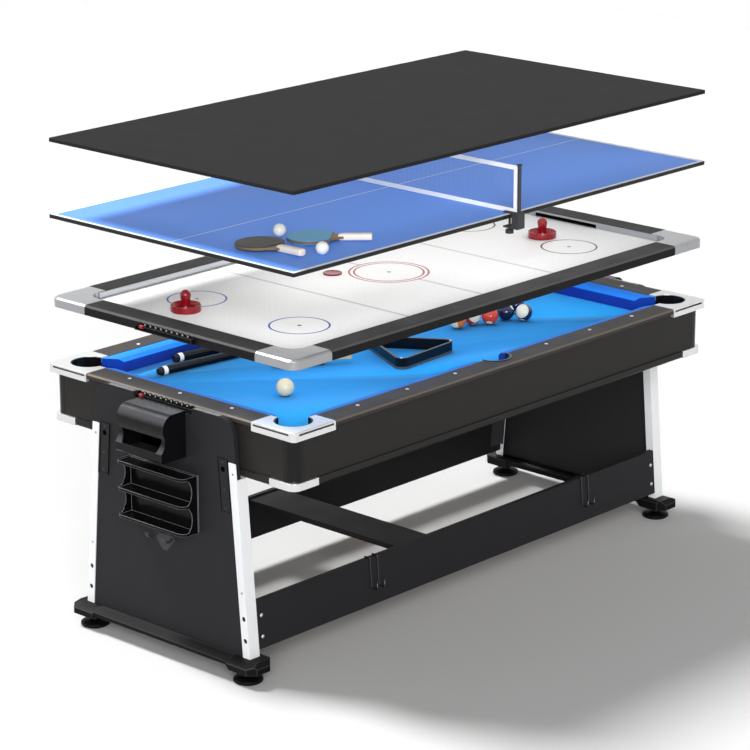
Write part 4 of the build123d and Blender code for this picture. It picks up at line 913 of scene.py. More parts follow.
class Workshop:
    """Makes pieces from the frame, dresses them and puts them on their bodies."""

    def __init__(self, frame: dict[str, object]) -> None:
        """Keep the frame's nodes and which body each is on."""
        self.nodes: dict[str, bpy.types.Object] = frame["nodes"]
        behaviour = frame["record"]["behaviour"]
        self.body_of = {node: body for body, nodes in behaviour["bodies"].items() for node in nodes}

    def fine_copy(
        self,
        node: str,
        name: str,
        finish: str,
        edge: float = 0.8 * MM,
        rounds: Sequence[Round] = (),
        cuts: int = 3,
        segments: int = 2,
        trim: str | None = None,
    ) -> bpy.types.Object:
        """Make a piece from a CAD node, with its round faces finer and its edges eased.

        Args:
            node: The CAD node.
            name: The piece's name.
            finish: The name of its finish.
            edge: The round on its hard edges.
            rounds: The round faces to make finer.
            cuts: How many cuts each flat of a round face gets.
            segments: The flats on an eased edge.
            trim: The finish of the eased edges, where it isn't the piece's own.

        Returns:
            The piece, in place of the node.
        """
        source = self.nodes[node].data
        bm = bmesh.new()
        verts = [bm.verts.new(vert.co) for vert in source.vertices]
        for polygon in source.polygons:
            bm.faces.new([verts[i] for i in polygon.vertices])
        bmesh.ops.remove_doubles(bm, verts=bm.verts, dist=MERGE)
        bmesh.ops.dissolve_limit(bm, angle_limit=math.radians(0.3), verts=bm.verts, edges=bm.edges)
        for face in rounds:
            face.bend(bm, cuts)
        piece = from_bmesh(name, bm, outward=False)
        if edge:
            round_edges(piece, edge, segments)
        self.place(piece, finish, node)
        # Painted highlight: the eased edges get a lighter finish of their own.
        if trim:
            piece.data.materials.append(FINISHES[trim].material())
            piece.modifiers["Edges"].material = 1
        return piece

    def place(self, piece: bpy.types.Object, finish: str, node: str, replace: bool = True) -> None:
        """Dress a piece and set it on the body of a CAD node.

        Args:
            piece: The piece.
            finish: The name of its finish.
            node: The node it stands for or sits beside.
            replace: Whether the node is hidden.
        """
        chosen = FINISHES[finish]
        piece.data.materials.clear()
        piece.data.materials.append(chosen.material())
        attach(piece, self.body_of[node])
        if replace:
            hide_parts(node)
        LOG.info("%s on %s", piece.name, self.body_of[node])

    def make(
        self,
        bm: bmesh.types.BMesh,
        name: str,
        finish: str,
        node: str,
        edge: float = 0.0,
        segments: int = 2,
        crease: float = 0.0,
        replace: bool = True,
    ) -> None:
        """Turn drawn faces into a dressed piece.

        Args:
            bm: The faces.
            name: The piece's name.
            finish: The name of its finish.
            node: The node it stands for or sits beside.
            edge: The round on its hard edges, if any.
            segments: The flats on an eased edge.
            crease: The angle in degrees above which its shading stays sharp, if any.
            replace: Whether the node is hidden.
        """
        piece = from_bmesh(name, bm)
        if edge:
            round_edges(piece, edge, segments)
        if crease:
            piece.data.set_sharp_from_angle(angle=math.radians(crease))
        self.place(piece, finish, node, replace)

    def solids(self, node: str) -> list[tuple[Vector, Vector, Vector]]:
        """Return the low corner, the high corner and the middle of each solid of a CAD node."""
        bm = bmesh.new()
        bm.from_mesh(self.nodes[node].data)
        bmesh.ops.remove_doubles(bm, verts=bm.verts, dist=MERGE)
        left = set(bm.verts)
        found = []
        while left:
            group, front = set(), [left.pop()]
            while front:
                vert = front.pop()
                group.add(vert)
                near = {edge.other_vert(vert) for edge in vert.link_edges} & left
                left -= near
                front.extend(near)
            low = Vector([min(vert.co[i] for vert in group) for i in range(3)])
            high = Vector([max(vert.co[i] for vert in group) for i in range(3)])
            found.append((low, high, (low + high) / 2))
        bm.free()
        return found

    def spheres(self, node: str, name: str, finish: str) -> None:
        """Make a smooth ball in place of each solid of a CAD node."""
        bm = bmesh.new()
        for low, high, middle in self.solids(node):
            to = Matrix.Translation(middle)
            bmesh.ops.create_uvsphere(bm, u_segments=64, v_segments=40, radius=(high.z - low.z) / 2, matrix=to)
        self.make(bm, name, finish, node)

    def dress(self, node: str, finish: str) -> None:
        """Give a CAD node that stays its finish."""
        piece = self.nodes[node]
        piece.data.materials.clear()
        piece.data.materials.append(FINISHES[finish].material())
        LOG.info("%s keeps its CAD mesh", node)


@dataclass
class Studio:
    """The pale floor, the soft lamps, the white surround and the photograph's camera."""

    floor_half: float = 9.0
    floor_tone: Colour = paint(192, 192, 192)
    air_strength: float = 0.3
    far_limit: float = 100.0
    frame_width: float = 750
    focal_pixels: float = 2967.21
    sensor: float = 36.0
    eye: tuple[float, float, float] = (-6.88587, -6.31094, 3.52196)
    yaw: float = 0.824034
    pitch: float = 0.295843
    roll: float = -0.001752
    suns: tuple[tuple[str, tuple[float, float, float], float, float], ...] = (
        ("front_sun", (0.66, 0.66, -0.36), 34, 3.1),
        ("back_sun", (0.12, -0.62, -1.0), 15, 4.9),
    )
    panels: tuple[tuple[str, tuple[float, float, float], Point, float], ...] = (
        ("cloth_panel", (0.0, 0.05, 1.012), (1.8, 0.9), 3.7),
        ("bed_panel", (0.34, 0.16, 1.292), (1.6, 0.58), 2.95),
        ("bed_front_panel", (0.6, -0.28, 1.292), (1.0, 0.4), 1.2),
        ("tennis_panel", (0.1, 0.05, 1.536), (1.7, 0.8), 2.8),
    )

    def build(self) -> None:
        """Build the whole studio."""
        self.floor()
        self.surround()
        self.lamps()
        self.camera()

    def floor(self) -> None:
        """Lay the floor, pale enough to show white but for the object's shadow."""
        bm = bmesh.new()
        bmesh.ops.create_grid(bm, x_segments=1, y_segments=1, size=self.floor_half)
        floor = from_bmesh("studio_floor", bm, outward=False)
        work = Paintwork("floor_paint")
        mottle = work.noise(work.place(), 400 * MM, 2)
        values = {"Color": work.vary(self.floor_tone, mottle, 0.004)}
        paper = work.out("ShaderNodeBsdfDiffuse", values=values, output="BSDF")
        work.add("ShaderNodeOutputMaterial", values={"Surface": paper})
        floor.data.materials.append(work.material)

    def surround(self) -> None:
        """Light the object evenly from a world that the camera sees as white."""
        world = bpy.data.worlds.new("studio_air")
        bpy.context.scene.world = world
        world.use_nodes = True
        work = Graph(world.node_tree)
        path = work.add("ShaderNodeLightPath")
        direct, mirrored, passed = (
            Wire(work, path.outputs[f"Is {kind} Ray"]) for kind in ("Camera", "Glossy", "Transmission")
        )
        seen = direct.top(mirrored).top(passed)
        strength = self.air_strength + seen * (1.0 - self.air_strength)
        sky = work.out("ShaderNodeBackground", values={"Color": (1, 1, 1, 1), "Strength": strength})
        work.add("ShaderNodeOutputWorld", values={"Surface": sky})

    def lamps(self) -> None:
        """Light the object softly from the camera's side and from above, with a panel over each bed."""
        for name, travel, spread, strength in self.suns:
            lamp = self.lamp(name, "SUN", strength)
            lamp.data.angle = math.radians(spread)
            lamp.rotation_euler = Vector(travel).to_track_quat("-Z", "Y").to_euler()
        for name, place, size, power in self.panels:
            lamp = self.lamp(name, "AREA", power)
            lamp.data.shape = "RECTANGLE"
            lamp.data.size, lamp.data.size_y = size
            lamp.visible_camera = False
            lamp.location = place

    @staticmethod
    def lamp(name: str, kind: str, energy: float) -> bpy.types.Object:
        """Hang a lamp of a kind."""
        light = bpy.data.lights.new(name, kind)
        light.energy = energy
        return new_piece(name, light)

    def camera(self) -> None:
        """Stand the camera where the photograph was taken."""
        data = bpy.data.cameras.new("photo_camera")
        data.sensor_width = self.sensor
        data.lens = self.focal_pixels / self.frame_width * self.sensor
        data.clip_end = self.far_limit
        level = math.cos(self.pitch)
        forward = Vector((math.sin(self.yaw) * level, math.cos(self.yaw) * level, -math.sin(self.pitch)))
        right = forward.cross(Vector((0, 0, 1))).normalized()
        up = right.cross(forward)
        cos_roll, sin_roll = math.cos(self.roll), math.sin(self.roll)
        turned = Matrix((cos_roll * right + sin_roll * up, cos_roll * up - sin_roll * right, -forward)).transposed()
        camera = new_piece("photo_camera", data)
        camera.matrix_world = Matrix.Translation(self.eye) @ turned.to_4x4()
        bpy.context.scene.camera = camera
        bpy.context.scene.view_settings.view_transform = "Standard"


class Repeats(Graph):
    """A geometry tree with named sizes, run once and turned into a plain mesh."""

    def __init__(self, name: str, sizes: dict[str, float | int]) -> None:
        """Make the tree and an input for each size.

        Args:
            name: The name of the piece that it makes.
            sizes: Each input's name and value, where a whole number is a count.
        """
        super().__init__(bpy.data.node_groups.new(name, "GeometryNodeTree"))
        self.name = name
        self.sizes = sizes
        faces = self.tree.interface
        faces.new_socket("Geometry", in_out="INPUT", socket_type="NodeSocketGeometry")
        faces.new_socket("Geometry", in_out="OUTPUT", socket_type="NodeSocketGeometry")
        for size, value in sizes.items():
            kind = "NodeSocketInt" if isinstance(value, int) else "NodeSocketFloat"
            faces.new_socket(size, in_out="INPUT", socket_type=kind)
        self.entry = self.add("NodeGroupInput")

    def size(self, name: str) -> Wire:
        """Return one of the inputs."""
        return Wire(self, self.entry.outputs[name])

    def vector(self, x: Wire | float = 0.0, y: Wire | float = 0.0, z: Wire | float = 0.0) -> Wire:
        """Return a vector of three parts."""
        return self.out("ShaderNodeCombineXYZ", values={"X": x, "Y": y, "Z": z})

    def grid(self) -> Wire:
        """Return a grid of points with the tree's own length, width, columns and rows."""
        values = {"Size X": "Length", "Size Y": "Width", "Vertices X": "Columns", "Vertices Y": "Rows"}
        return self.out("GeometryNodeMeshGrid", values={key: self.size(name) for key, name in values.items()})

    def cone(self, foot: Wire, top: Wire, height: Wire, sides: Wire | int, lift: Wire | float = 0.0) -> Wire:
        """Return an upright cone or, with two equal radii, a cylinder."""
        values = {"Vertices": sides, "Radius Top": top, "Radius Bottom": foot, "Depth": height}
        shape = self.out("GeometryNodeMeshCone", values=values)
        return self.out("GeometryNodeTransform", values={"Geometry": shape, "Translation": self.vector(z=lift)})

    def join(self, *shapes: Wire) -> Wire:
        """Join several shapes."""
        node = self.add("GeometryNodeJoinGeometry")
        for shape in shapes:
            self.tree.links.new(shape.socket, node.inputs[0])
        return Wire(self, node.outputs[0])

    def instances(self, points: Wire, shape: Wire, turn: Wire | None = None) -> Wire:
        """Put a shape on every point, turned by a rotation if there is one."""
        values = {"Points": points, "Instance": shape}
        if turn is not None:
            values["Rotation"] = turn
        return self.out("GeometryNodeInstanceOnPoints", values=values)

    def run(
        self,
        shop: Workshop,
        shape: Wire,
        finish: str,
        node: str,
        replace: bool = True,
        host: bpy.types.Mesh | None = None,
    ) -> None:
        """Close the tree, run it and set its result, a plain mesh, on its body.

        Args:
            shop: What sets the piece on its body.
            shape: What the tree makes.
            finish: The name of the finish.
            node: The node it stands for or sits beside.
            replace: Whether the node is hidden.
            host: The mesh that comes in, for a tree that uses its points.
        """
        whole = self.out("GeometryNodeRealizeInstances", values={"Geometry": shape})
        material = FINISHES[finish].material()
        dressed = self.out("GeometryNodeSetMaterial", values={"Geometry": whole, "Material": material})
        self.add("NodeGroupOutput", values={0: dressed})
        carrier = new_piece(f"{self.name}_carrier", host or bpy.data.meshes.new(f"{self.name}_points"))
        modifier = carrier.modifiers.new("Repeats", "NODES")
        modifier.node_group = self.tree
        for item in self.tree.interface.items_tree:
            if item.in_out == "INPUT" and item.name in self.sizes:
                modifier[item.identifier] = self.sizes[item.name]
        graph = bpy.context.evaluated_depsgraph_get()
        mesh = bpy.data.meshes.new_from_object(carrier.evaluated_get(graph), depsgraph=graph)
        bpy.data.objects.remove(carrier)
        mesh.name = self.name
        shop.place(new_piece(self.name, mesh), finish, node, replace)


@dataclass(frozen=True)
class Stud:
    """A small round head that repeats: a rim and a crown on it."""

    radius: float
    rim: float
    crown: float
    crown_share: float = 0.6
    sides: int = 20

    def spread(
        self,
        shop: Workshop,
        name: str,
        places: Sequence[tuple[Vector, Vector]],
        finish: str,
        node: str,
        replace: bool = True,
    ) -> None:
        """Put a head at each place.

        Args:
            shop: What sets the piece on its body.
            name: The piece's name.
            places: Where each head sits and the way it faces.
            finish: The name of its finish.
            node: The node it stands for or sits beside.
            replace: Whether the node is hidden.
        """
        host = bpy.data.meshes.new(f"{name}_points")
        host.from_pydata([place for place, _ in places], [], [])
        facing = host.attributes.new("facing", "FLOAT_VECTOR", "POINT")
        for i, (_, way) in enumerate(places):
            facing.data[i].vector = way
        sizes = {"Radius": self.radius, "Rim": self.rim, "Crown": self.crown, "Share": self.crown_share}
        tree = Repeats(name, {**sizes, "Sides": self.sides})
        radius, rim, sides = tree.size("Radius"), tree.size("Rim"), tree.size("Sides")
        skirt = tree.cone(radius, radius, rim, sides)
        crown = tree.cone(radius * 0.97, radius * tree.size("Share"), tree.size("Crown"), sides, rim * 0.98)
        named = tree.add("GeometryNodeInputNamedAttribute", {"data_type": "FLOAT_VECTOR"}, {"Name": "facing"})
        way = Wire(tree, next(socket for socket in named.outputs if socket.enabled))
        turn = tree.out("FunctionNodeAlignRotationToVector", {"axis": "Z"}, {"Vector": way})
        shape = tree.instances(tree.size("Geometry"), tree.join(skirt, crown), turn)
        tree.run(shop, shape, finish, node, replace, host)


@dataclass
class Box:
    """The pool table's box: aprons, corners, mouldings, bed, rails, cushions and pockets."""

    shop: Workshop
    post: Point = (954 * MM, 494 * MM)
    post_radius: float = 34 * MM
    pocket: Point = (910 * MM, 450 * MM)
    pocket_radius: float = 55 * MM
    liner_wall: float = 4 * MM
    clearance: float = 0.3 * MM
    side_pocket_y: float = 452 * MM
    side_radius: float = 50 * MM
    casting_radius: float = 14 * MM
    casting_face: Point = (1002 * MM, 542 * MM)
    slot_inset: float = 97 * MM
    slot_half: float = 73.6 * MM
    slot_levels: Point = (819.4 * MM, 824.6 * MM)
    slot_depths: Point = (0.8 * MM, 1.9 * MM)
    lower_face: Point = (995.5 * MM, 535.5 * MM)
    lower_radius: float = 30 * MM
    cloth_size: Point = (1020 * MM, 1940 * MM)
    cloth_area: float = 1.9127
    sight: Stud = Stud(6 * MM, 0.45 * MM, 0.35 * MM, 0.75, 28)
    rim_radii: Point = (50.5 * MM, 58 * MM)
    rim_levels: Point = (830.05 * MM, 831.7 * MM)

    def pocket_rounds(self, *walls: float) -> list[Round]:
        """Return rounds at the six pockets, each wider than a pocket by a wall."""
        corners = four_rounds(*self.pocket, *[self.pocket_radius + wall for wall in walls])
        places = [(0, way * self.side_pocket_y) for way in (-1, 1)]
        return corners + [Round(Axis.Z, place, self.side_radius + wall) for place in places for wall in walls]

    def pocket_holes(self) -> list[Round]:
        """Return the rounds that are cut for the six liners."""
        return self.pocket_rounds(self.liner_wall + self.clearance)

    def boards(self) -> None:
        """Build the aprons, the mouldings, the bed and its cloth."""
        copy = self.shop.fine_copy
        holes = self.pocket_holes()
        copy("long_aprons", "apron_boards_long", "apron_laminate", 0.8 * MM, holes)
        copy("end_aprons", "apron_boards_end", "apron_laminate", 0.8 * MM, holes)
        posts = four_rounds(*self.post, self.post_radius)
        copy("corner_posts", "corner_columns", "gloss_black", 0.6 * MM, posts + holes)
        copy("lower_mouldings", "lower_moulding_bars", "apron_laminate", 1.2 * MM)
        self.shop.dress("underside_panel", "bed_board_raw")
        copy("pool_bed", "bed_slab", "bed_board_raw", 0, holes)
        cloth = copy("pool_cloth", "cloth_sheet", "pool_felt", 0, holes)

    def metalwork(self) -> None:
        """Build the corner castings with their slots, and the lower corners."""
        copy = self.shop.fine_copy
        x, y = self.casting_face
        casting = four_rounds(x - self.casting_radius, y - self.casting_radius, self.casting_radius)
        copy("corner_castings", "pocket_corner_castings", "bright_casting", 1.6 * MM,
             casting + self.pocket_holes() + four_rounds(*self.post, self.post_radius), segments=3)
        strips = bmesh.new()
        low, high = self.slot_levels
        near, far = self.slot_depths
        inner, outer = self.slot_inset + self.slot_half, self.slot_inset - self.slot_half
        for end, side in CORNERS:
            block(strips, (end * (x - near), side * (y - inner), low), (end * (x - far), side * (y - outer), high))
            block(strips, (end * (x - inner), side * (y - near), low), (end * (x - outer), side * (y - far), high))
        self.shop.make(strips, "casting_slot_strips", "matt_black", "corner_castings", replace=False)
        x, y = self.lower_face
        lower = four_rounds(x - self.lower_radius, y - self.lower_radius, self.lower_radius)
        copy("lower_corners", "lower_corner_caps", "bright_casting", 1.4 * MM, lower, segments=3)

    def side_rims(self) -> None:
        """Build the raised black half rims on the rails round the side pockets."""
        bm = bmesh.new()
        for way in (-1, 1):
            centre = (0.0, way * self.side_pocket_y)
            outer = arc(centre, self.rim_radii[1], 0, way * 180, 36)
            inner = arc(centre, self.rim_radii[0], way * 180, 0, 36)
            prism(bm, outer + inner, *self.rim_levels)
        self.shop.make(bm, "side_pocket_rims", "gloss_black", "long_rails", 0.5 * MM, replace=False)

    def rails(self) -> None:
        """Build the rails, their sights, the cushions and the pockets."""
        copy = self.shop.fine_copy
        holes = self.pocket_holes()
        copy("long_rails", "rail_tops_long", "rail_laminate", 1.0 * MM, holes)
        copy("end_rails", "rail_tops_end", "rail_laminate", 1.0 * MM)
        copy("cushions", "cushion_bars", "cushion_felt", 1.6 * MM, segments=3)
        liners = self.pocket_rounds(0.0, self.liner_wall)
        copy("pocket_liners", "pocket_cups", "gloss_black", 1.0 * MM, liners, segments=3)
        up = Vector((0, 0, 1))
        places = [(Vector((*middle[:2], low.z)), up) for low, _, middle in self.shop.solids("rail_sights")]
        self.sight.spread(self.shop, "rail_dots", places, "sight_shell", "rail_sights")

    def build(self) -> None:
        """Build the whole box."""
        self.boards()
        self.metalwork()
        self.rails()
        self.side_rims()


@dataclass
class EndFrames:
    """Two flared panels in white posts on black foot bars, and the stretchers between."""

    shop: Workshop
    bolt: Stud = Stud(6.5 * MM, 1.4 * MM, 2.6 * MM, 0.45, 24)
    foot_x: float = 1010 * MM
    foot_y: float = 345 * MM
    foot_profile: tuple[Point, ...] = (
        (0, 0), (40, 0), (41.4, 0.8), (45.6, 4.4), (46, 5.4), (46, 11.4), (45.4, 12.4), (44, 13.2), (38.4, 17.2),
        (36.4, 18), (16.5, 20.4), (14.4, 21.4), (14, 22.6), (14, 27), (13.4, 27.6), (5, 27.6), (5, 61.4), (4.4, 62),
        (0, 62),
    )

    def feet(self) -> None:
        """Turn the four levelling feet."""
        profile = [(radius * MM, height * MM) for radius, height in self.foot_profile]
        for end, place in ((-1, "near"), (1, "far")):
            for side, flank in ((-1, "front"), (1, "back")):
                bm = bmesh.new()
                lathe(bm, profile, Matrix.Translation((end * self.foot_x, side * self.foot_y, 0)), 72)
                node = f"levelling_foot_{place}_{flank}"
                self.shop.make(bm, f"foot_pad_{place}_{flank}", "foot_moulding", node, crease=34)

    def build(self) -> None:
        """Build both frames."""
        copy = self.shop.fine_copy
        copy("end_panels", "end_boards", "panel_board")
        copy("leg_posts", "leg_channels", "post_paint", 1.0 * MM, segments=3)
        copy("foot_bars", "foot_rails", "foot_moulding", 1.8 * MM, segments=3, trim="foot_edge_highlight")
        copy("foot_bar_caps", "foot_rail_caps", "foot_moulding", 2.2 * MM, segments=3, trim="foot_edge_highlight")
        copy("stretchers", "stretcher_boards", "stretcher_laminate", 1.0 * MM)
        copy("stretcher_brackets", "stretcher_angles", "matt_black", 0.6 * MM)
        copy("cross_stretcher", "cross_board", "stretcher_laminate")
        copy("mounting_cleats", "cleat_boards", "bed_board_raw", 0.5 * MM)
        places = []
        for low, high, middle in self.shop.solids("frame_bolts"):
            side = math.copysign(1, middle.y)
            root = low.y if side > 0 else high.y
            places.append((Vector((middle.x, root, middle.z)), Vector((0, side, 0))))
        self.bolt.spread(self.shop, "stretcher_bolts", places, "bright_steel", "frame_bolts")
        self.feet()


@dataclass
class EndFittings:
    """What hangs on the end panels: goal boxes, the rack, its hook, plates and hooks."""

    shop: Workshop
    roll: Point = (1071 * MM, 770 * MM)
    roll_radii: Point = (43 * MM, 39 * MM)
    rack_corner: Point = (-1061 * MM, 126 * MM)
    rack_radii: Point = (24 * MM, 20 * MM)
    plate_face: float = 1022 * MM
    plate_screws: tuple[Point, ...] = ((260.3 * MM, 686 * MM), (267.4 * MM, 600 * MM), (272.2 * MM, 541 * MM))
    screw: Stud = Stud(4.0 * MM, 0.5 * MM, 0.9 * MM, 0.5, 16)
    panel_face: float = 1019 * MM
    latch: Point = (261.8 * MM, 664 * MM)
    latch_hole: Stud = Stud(8.6 * MM, 0.3 * MM, 0.2 * MM, 0.9, 28)
    pip: Stud = Stud(3.4 * MM, 0.25 * MM, 0.25 * MM, 0.8, 16)
    score_faces: tuple[tuple[str, float, float], ...] = (
        ("pool", 1003 * MM, 822.6 * MM),
        ("air", 995 * MM, 1038.2 * MM),
    )
    pips: int = 9
    pip_pitch: float = 23.4 * MM
    edge_strip_span: Point = (134 * MM, 244 * MM)
    edge_strip_places: Point = (1004.5 * MM, 1012.5 * MM)
    edge_strip_width: float = 3.2 * MM
    edge_strip_height: float = 0.9 * MM
    panel_top: float = 825 * MM

    def screws(self) -> None:
        """Drive the screws of the lock plates."""
        places = [
            (Vector((end * self.plate_face, side * y, z)), Vector((end, 0, 0)))
            for end, side in CORNERS
            for y, z in self.plate_screws
        ]
        self.screw.spread(self.shop, "plate_screws", places, "hook_wire", "lock_plates", False)
        # Painted shade: a near-black disc on the panel face within each lock plate's hole stands for the shade inside
        # it.
        y, z = self.latch
        places = [(Vector((end * self.panel_face, side * y, z)), Vector((end, 0, 0))) for end, side in CORNERS]
        self.latch_hole.spread(self.shop, "latch_hole_shades", places, "painted_hole_shade", "lock_plates", False)

    def edge_strips(self) -> None:
        """Lay the light double strips on the panels' top edges."""
        bm = bmesh.new()
        near, far = self.edge_strip_span
        for end, side in CORNERS:
            for place in self.edge_strip_places:
                low = (end * place, side * near, self.panel_top)
                high = (end * (place + self.edge_strip_width), side * far, self.panel_top + self.edge_strip_height)
                block(bm, low, high)
        self.shop.make(bm, "panel_edge_strips", "brushed_strip", "end_panels", 0.3 * MM, replace=False)

    def scorers(self) -> None:
        """Build the score counters with their pips and red markers."""
        copy = self.shop.fine_copy
        for game, face, level in self.score_faces:
            copy(f"{game}_scorers", f"{game}_score_racks", "gloss_black", 0.4 * MM)
            reach = self.pips // 2
            places = [
                (Vector((end * face, row * self.pip_pitch, level)), Vector((end, 0, 0)))
                for end in (-1, 1)
                for row in range(-reach, reach + 1)
            ]
            self.pip.spread(self.shop, f"{game}_score_pips", places, "bead_shell", f"{game}_scorers", False)
            for end in ("near", "far"):
                copy(f"{game}_marker_{end}", f"{game}_bead_{end}", "marker_shell", 0.8 * MM, segments=3)

    def build(self) -> None:
        """Build every fitting."""
        copy = self.shop.fine_copy
        x, z = self.roll
        copy("goal_boxes", "goal_catchers", "hood_black", 1.6 * MM,
             [Round(Axis.Y, (end * x, z), radius) for end in (-1, 1) for radius in self.roll_radii],
             segments=3, trim="plastic_edge_highlight")
        x, y = self.rack_corner
        copy("accessory_rack", "gear_rack", "rack_black", 1.7 * MM,
             [Round(Axis.Z, (x, side * y), radius) for side in (-1, 1) for radius in self.rack_radii],
             segments=3, trim="rack_edge_highlight")
        copy("rack_hook", "rack_prong_hook", "matt_black", 1.2 * MM, trim="plastic_edge_highlight")
        copy("lock_plates", "latch_plates", "gloss_black", 0.9 * MM, trim="foot_edge_highlight")
        copy("wire_hooks", "ball_hooks", "hook_wire", 0)
        self.screws()
        self.edge_strips()
        self.scorers()


@dataclass(frozen=True)
class BallLook:
    """How one ball looks and lies."""

    tint: Colour
    striped: bool
    turn: tuple[float, float, float]


@dataclass
class PoolGear:
    """What lies on the cloth: balls, triangle, cues and brush."""

    shop: Workshop
    bed: float = 770 * MM
    looks: tuple[BallLook, ...] = (
        BallLook(paint(226, 120, 30), True, (0.5, 1.1, 0.3)),
        BallLook(paint(186, 40, 30), True, (0.0, 1.14, -1.91)),
        BallLook(paint(214, 58, 26), False, (1.6, 2.3, 0.6)),
        BallLook(paint(16, 20, 58), False, (0.4, 0.7, 2.2)),
        BallLook(paint(190, 30, 44), True, (1.3, 0.2, 1.9)),
        BallLook(paint(22, 24, 66), True, (0.0, 1.07, -2.9)),
        BallLook(paint(26, 32, 92), False, (0.3, 2.1, 0.8)),
    )
    triangle_centre: Point = (-33 * MM, -114 * MM)
    triangle_turn: float = math.radians(94)
    triangle_reach: float = 180 * MM
    triangle_wall: float = 9 * MM
    triangle_corner: float = 26 * MM
    triangle_height: float = 38 * MM
    band_levels: Point = (0.4 * MM, 9 * MM)
    band_insets: Point = (-0.5 * MM, 1 * MM)
    rivet: Stud = Stud(4.2 * MM, 0.5 * MM, 0.8 * MM, 0.5, 20)
    cue_butts: tuple[Point, Point] = ((-735 * MM, 322 * MM), (-600 * MM, 392 * MM))
    cue_turns: Point = (math.radians(-5.9), math.radians(-6.4))
    cue_length: float = 1220 * MM
    cue_bumper: float = 12 * MM
    cue_radii: Point = (14.5 * MM, 6 * MM)
    cue_profile: tuple[Point, ...] = (
        (0, 0), (8.2, 0), (10.2, 0.9), (11, 2.6), (11.4, 6), (13.4, 9.4), (14.5, 12), (6, 1213), (5.7, 1216.4),
        (4.6, 1218.8), (2.4, 1219.8), (0, 1220),
    )
    brush_place: Point = (-345 * MM, 72 * MM)
    brush_turn: float = math.radians(-35.5)
    tuft_field: Point = (150 * MM, 22 * MM)
    tuft_height: float = 13.8 * MM
    tuft_radii: Point = (1.5 * MM, 1.1 * MM)
    tuft_counts: tuple[int, int] = (54, 9)
    tuft_splay: float = 0.14

    def balls(self) -> None:
        """Roll out the object balls and the cue ball."""
        bm = bmesh.new()
        layers = bm.verts.layers
        way, tint = layers.float_vector.new("way"), layers.float_color.new("tint")
        striped = layers.float.new("striped")
        found = sorted(self.shop.solids("object_balls"), key=lambda solid: solid[2].x)
        for (low, high, middle), look in zip(found, self.looks):
            turn = Euler(look.turn).to_matrix()
            radius = (high.z - low.z) / 2
            made = bmesh.ops.create_uvsphere(
                bm, u_segments=64, v_segments=40, radius=radius, matrix=Matrix.Translation(middle) @ turn.to_4x4()
            )
            for vert in made["verts"]:
                vert[way] = turn.inverted() @ (vert.co - middle) / radius
                vert[tint] = look.tint
                vert[striped] = float(look.striped)
        self.shop.make(bm, "colour_balls", "ball_face", "object_balls")
        self.shop.spheres("cue_ball", "white_ball", "cue_ball_resin")

    def corners(self, reach: float, radius: float) -> list[tuple[float, float, float]]:
        """Return the triangle's three corners at a reach, each with its round."""
        x, y = self.triangle_centre
        turns = [self.triangle_turn + TURN * i / 3 for i in range(3)]
        return [(x + reach * math.cos(turn), y + reach * math.sin(turn), radius) for turn in turns]

    def hoop(self, inset: float) -> list[Point]:
        """Return the triangle's outline, drawn in by an inset."""
        return rounded(self.corners(self.triangle_reach - 2 * inset, self.triangle_corner - inset), 14)

    def triangle(self) -> None:
        """Build the ball triangle, its lower band and its rivets."""
        top = self.bed + self.triangle_height
        bm = bmesh.new()
        prism(bm, self.hoop(0.0), self.bed, top, holes=[self.hoop(self.triangle_wall)])
        self.shop.make(bm, "ball_triangle", "gloss_black", "triangle_rack", 1.8 * MM, 3)
        bm = bmesh.new()
        band, inside = (self.hoop(inset) for inset in self.band_insets)
        low, high = (self.bed + level for level in self.band_levels)
        prism(bm, band, low, high, holes=[inside])
        # The band takes the lighter grey of the painted edge highlights.
        self.shop.make(bm, "triangle_band", "plastic_edge_highlight", "triangle_rack", 0.3 * MM, replace=False)
        middle = self.triangle_reach - self.triangle_corner - self.triangle_wall / 2
        places = [(Vector((x, y, top)), Vector((0, 0, 1))) for x, y, _ in self.corners(middle, 0)]
        self.rivet.spread(self.shop, "triangle_rivets", places, "sight_shell", "triangle_rack", False)

    def cues(self) -> None:
        """Turn both cues, with each point's share of the length for the finish."""
        butt, tip = self.cue_radii
        slope = (butt - tip) / (self.cue_length - self.cue_bumper)
        bm = bmesh.new()
        along = bm.verts.layers.float.new("along")
        for (x, y), turn in zip(self.cue_butts, self.cue_turns):
            heading = Vector((math.cos(turn), math.sin(turn), -slope)).normalized()
            base = Vector((x, y, self.bed + butt + self.cue_bumper * slope))
            old = set(bm.verts)
            to = Matrix.Translation(base) @ heading.to_track_quat("Z", "Y").to_matrix().to_4x4()
            lathe(bm, [(radius * MM, height * MM) for radius, height in self.cue_profile], to, 40)
            for vert in bm.verts:
                if vert not in old:
                    vert[along] = (vert.co - base).dot(heading) / self.cue_length
        self.shop.make(bm, "cues", "cue_face", "cue_sticks", crease=40)

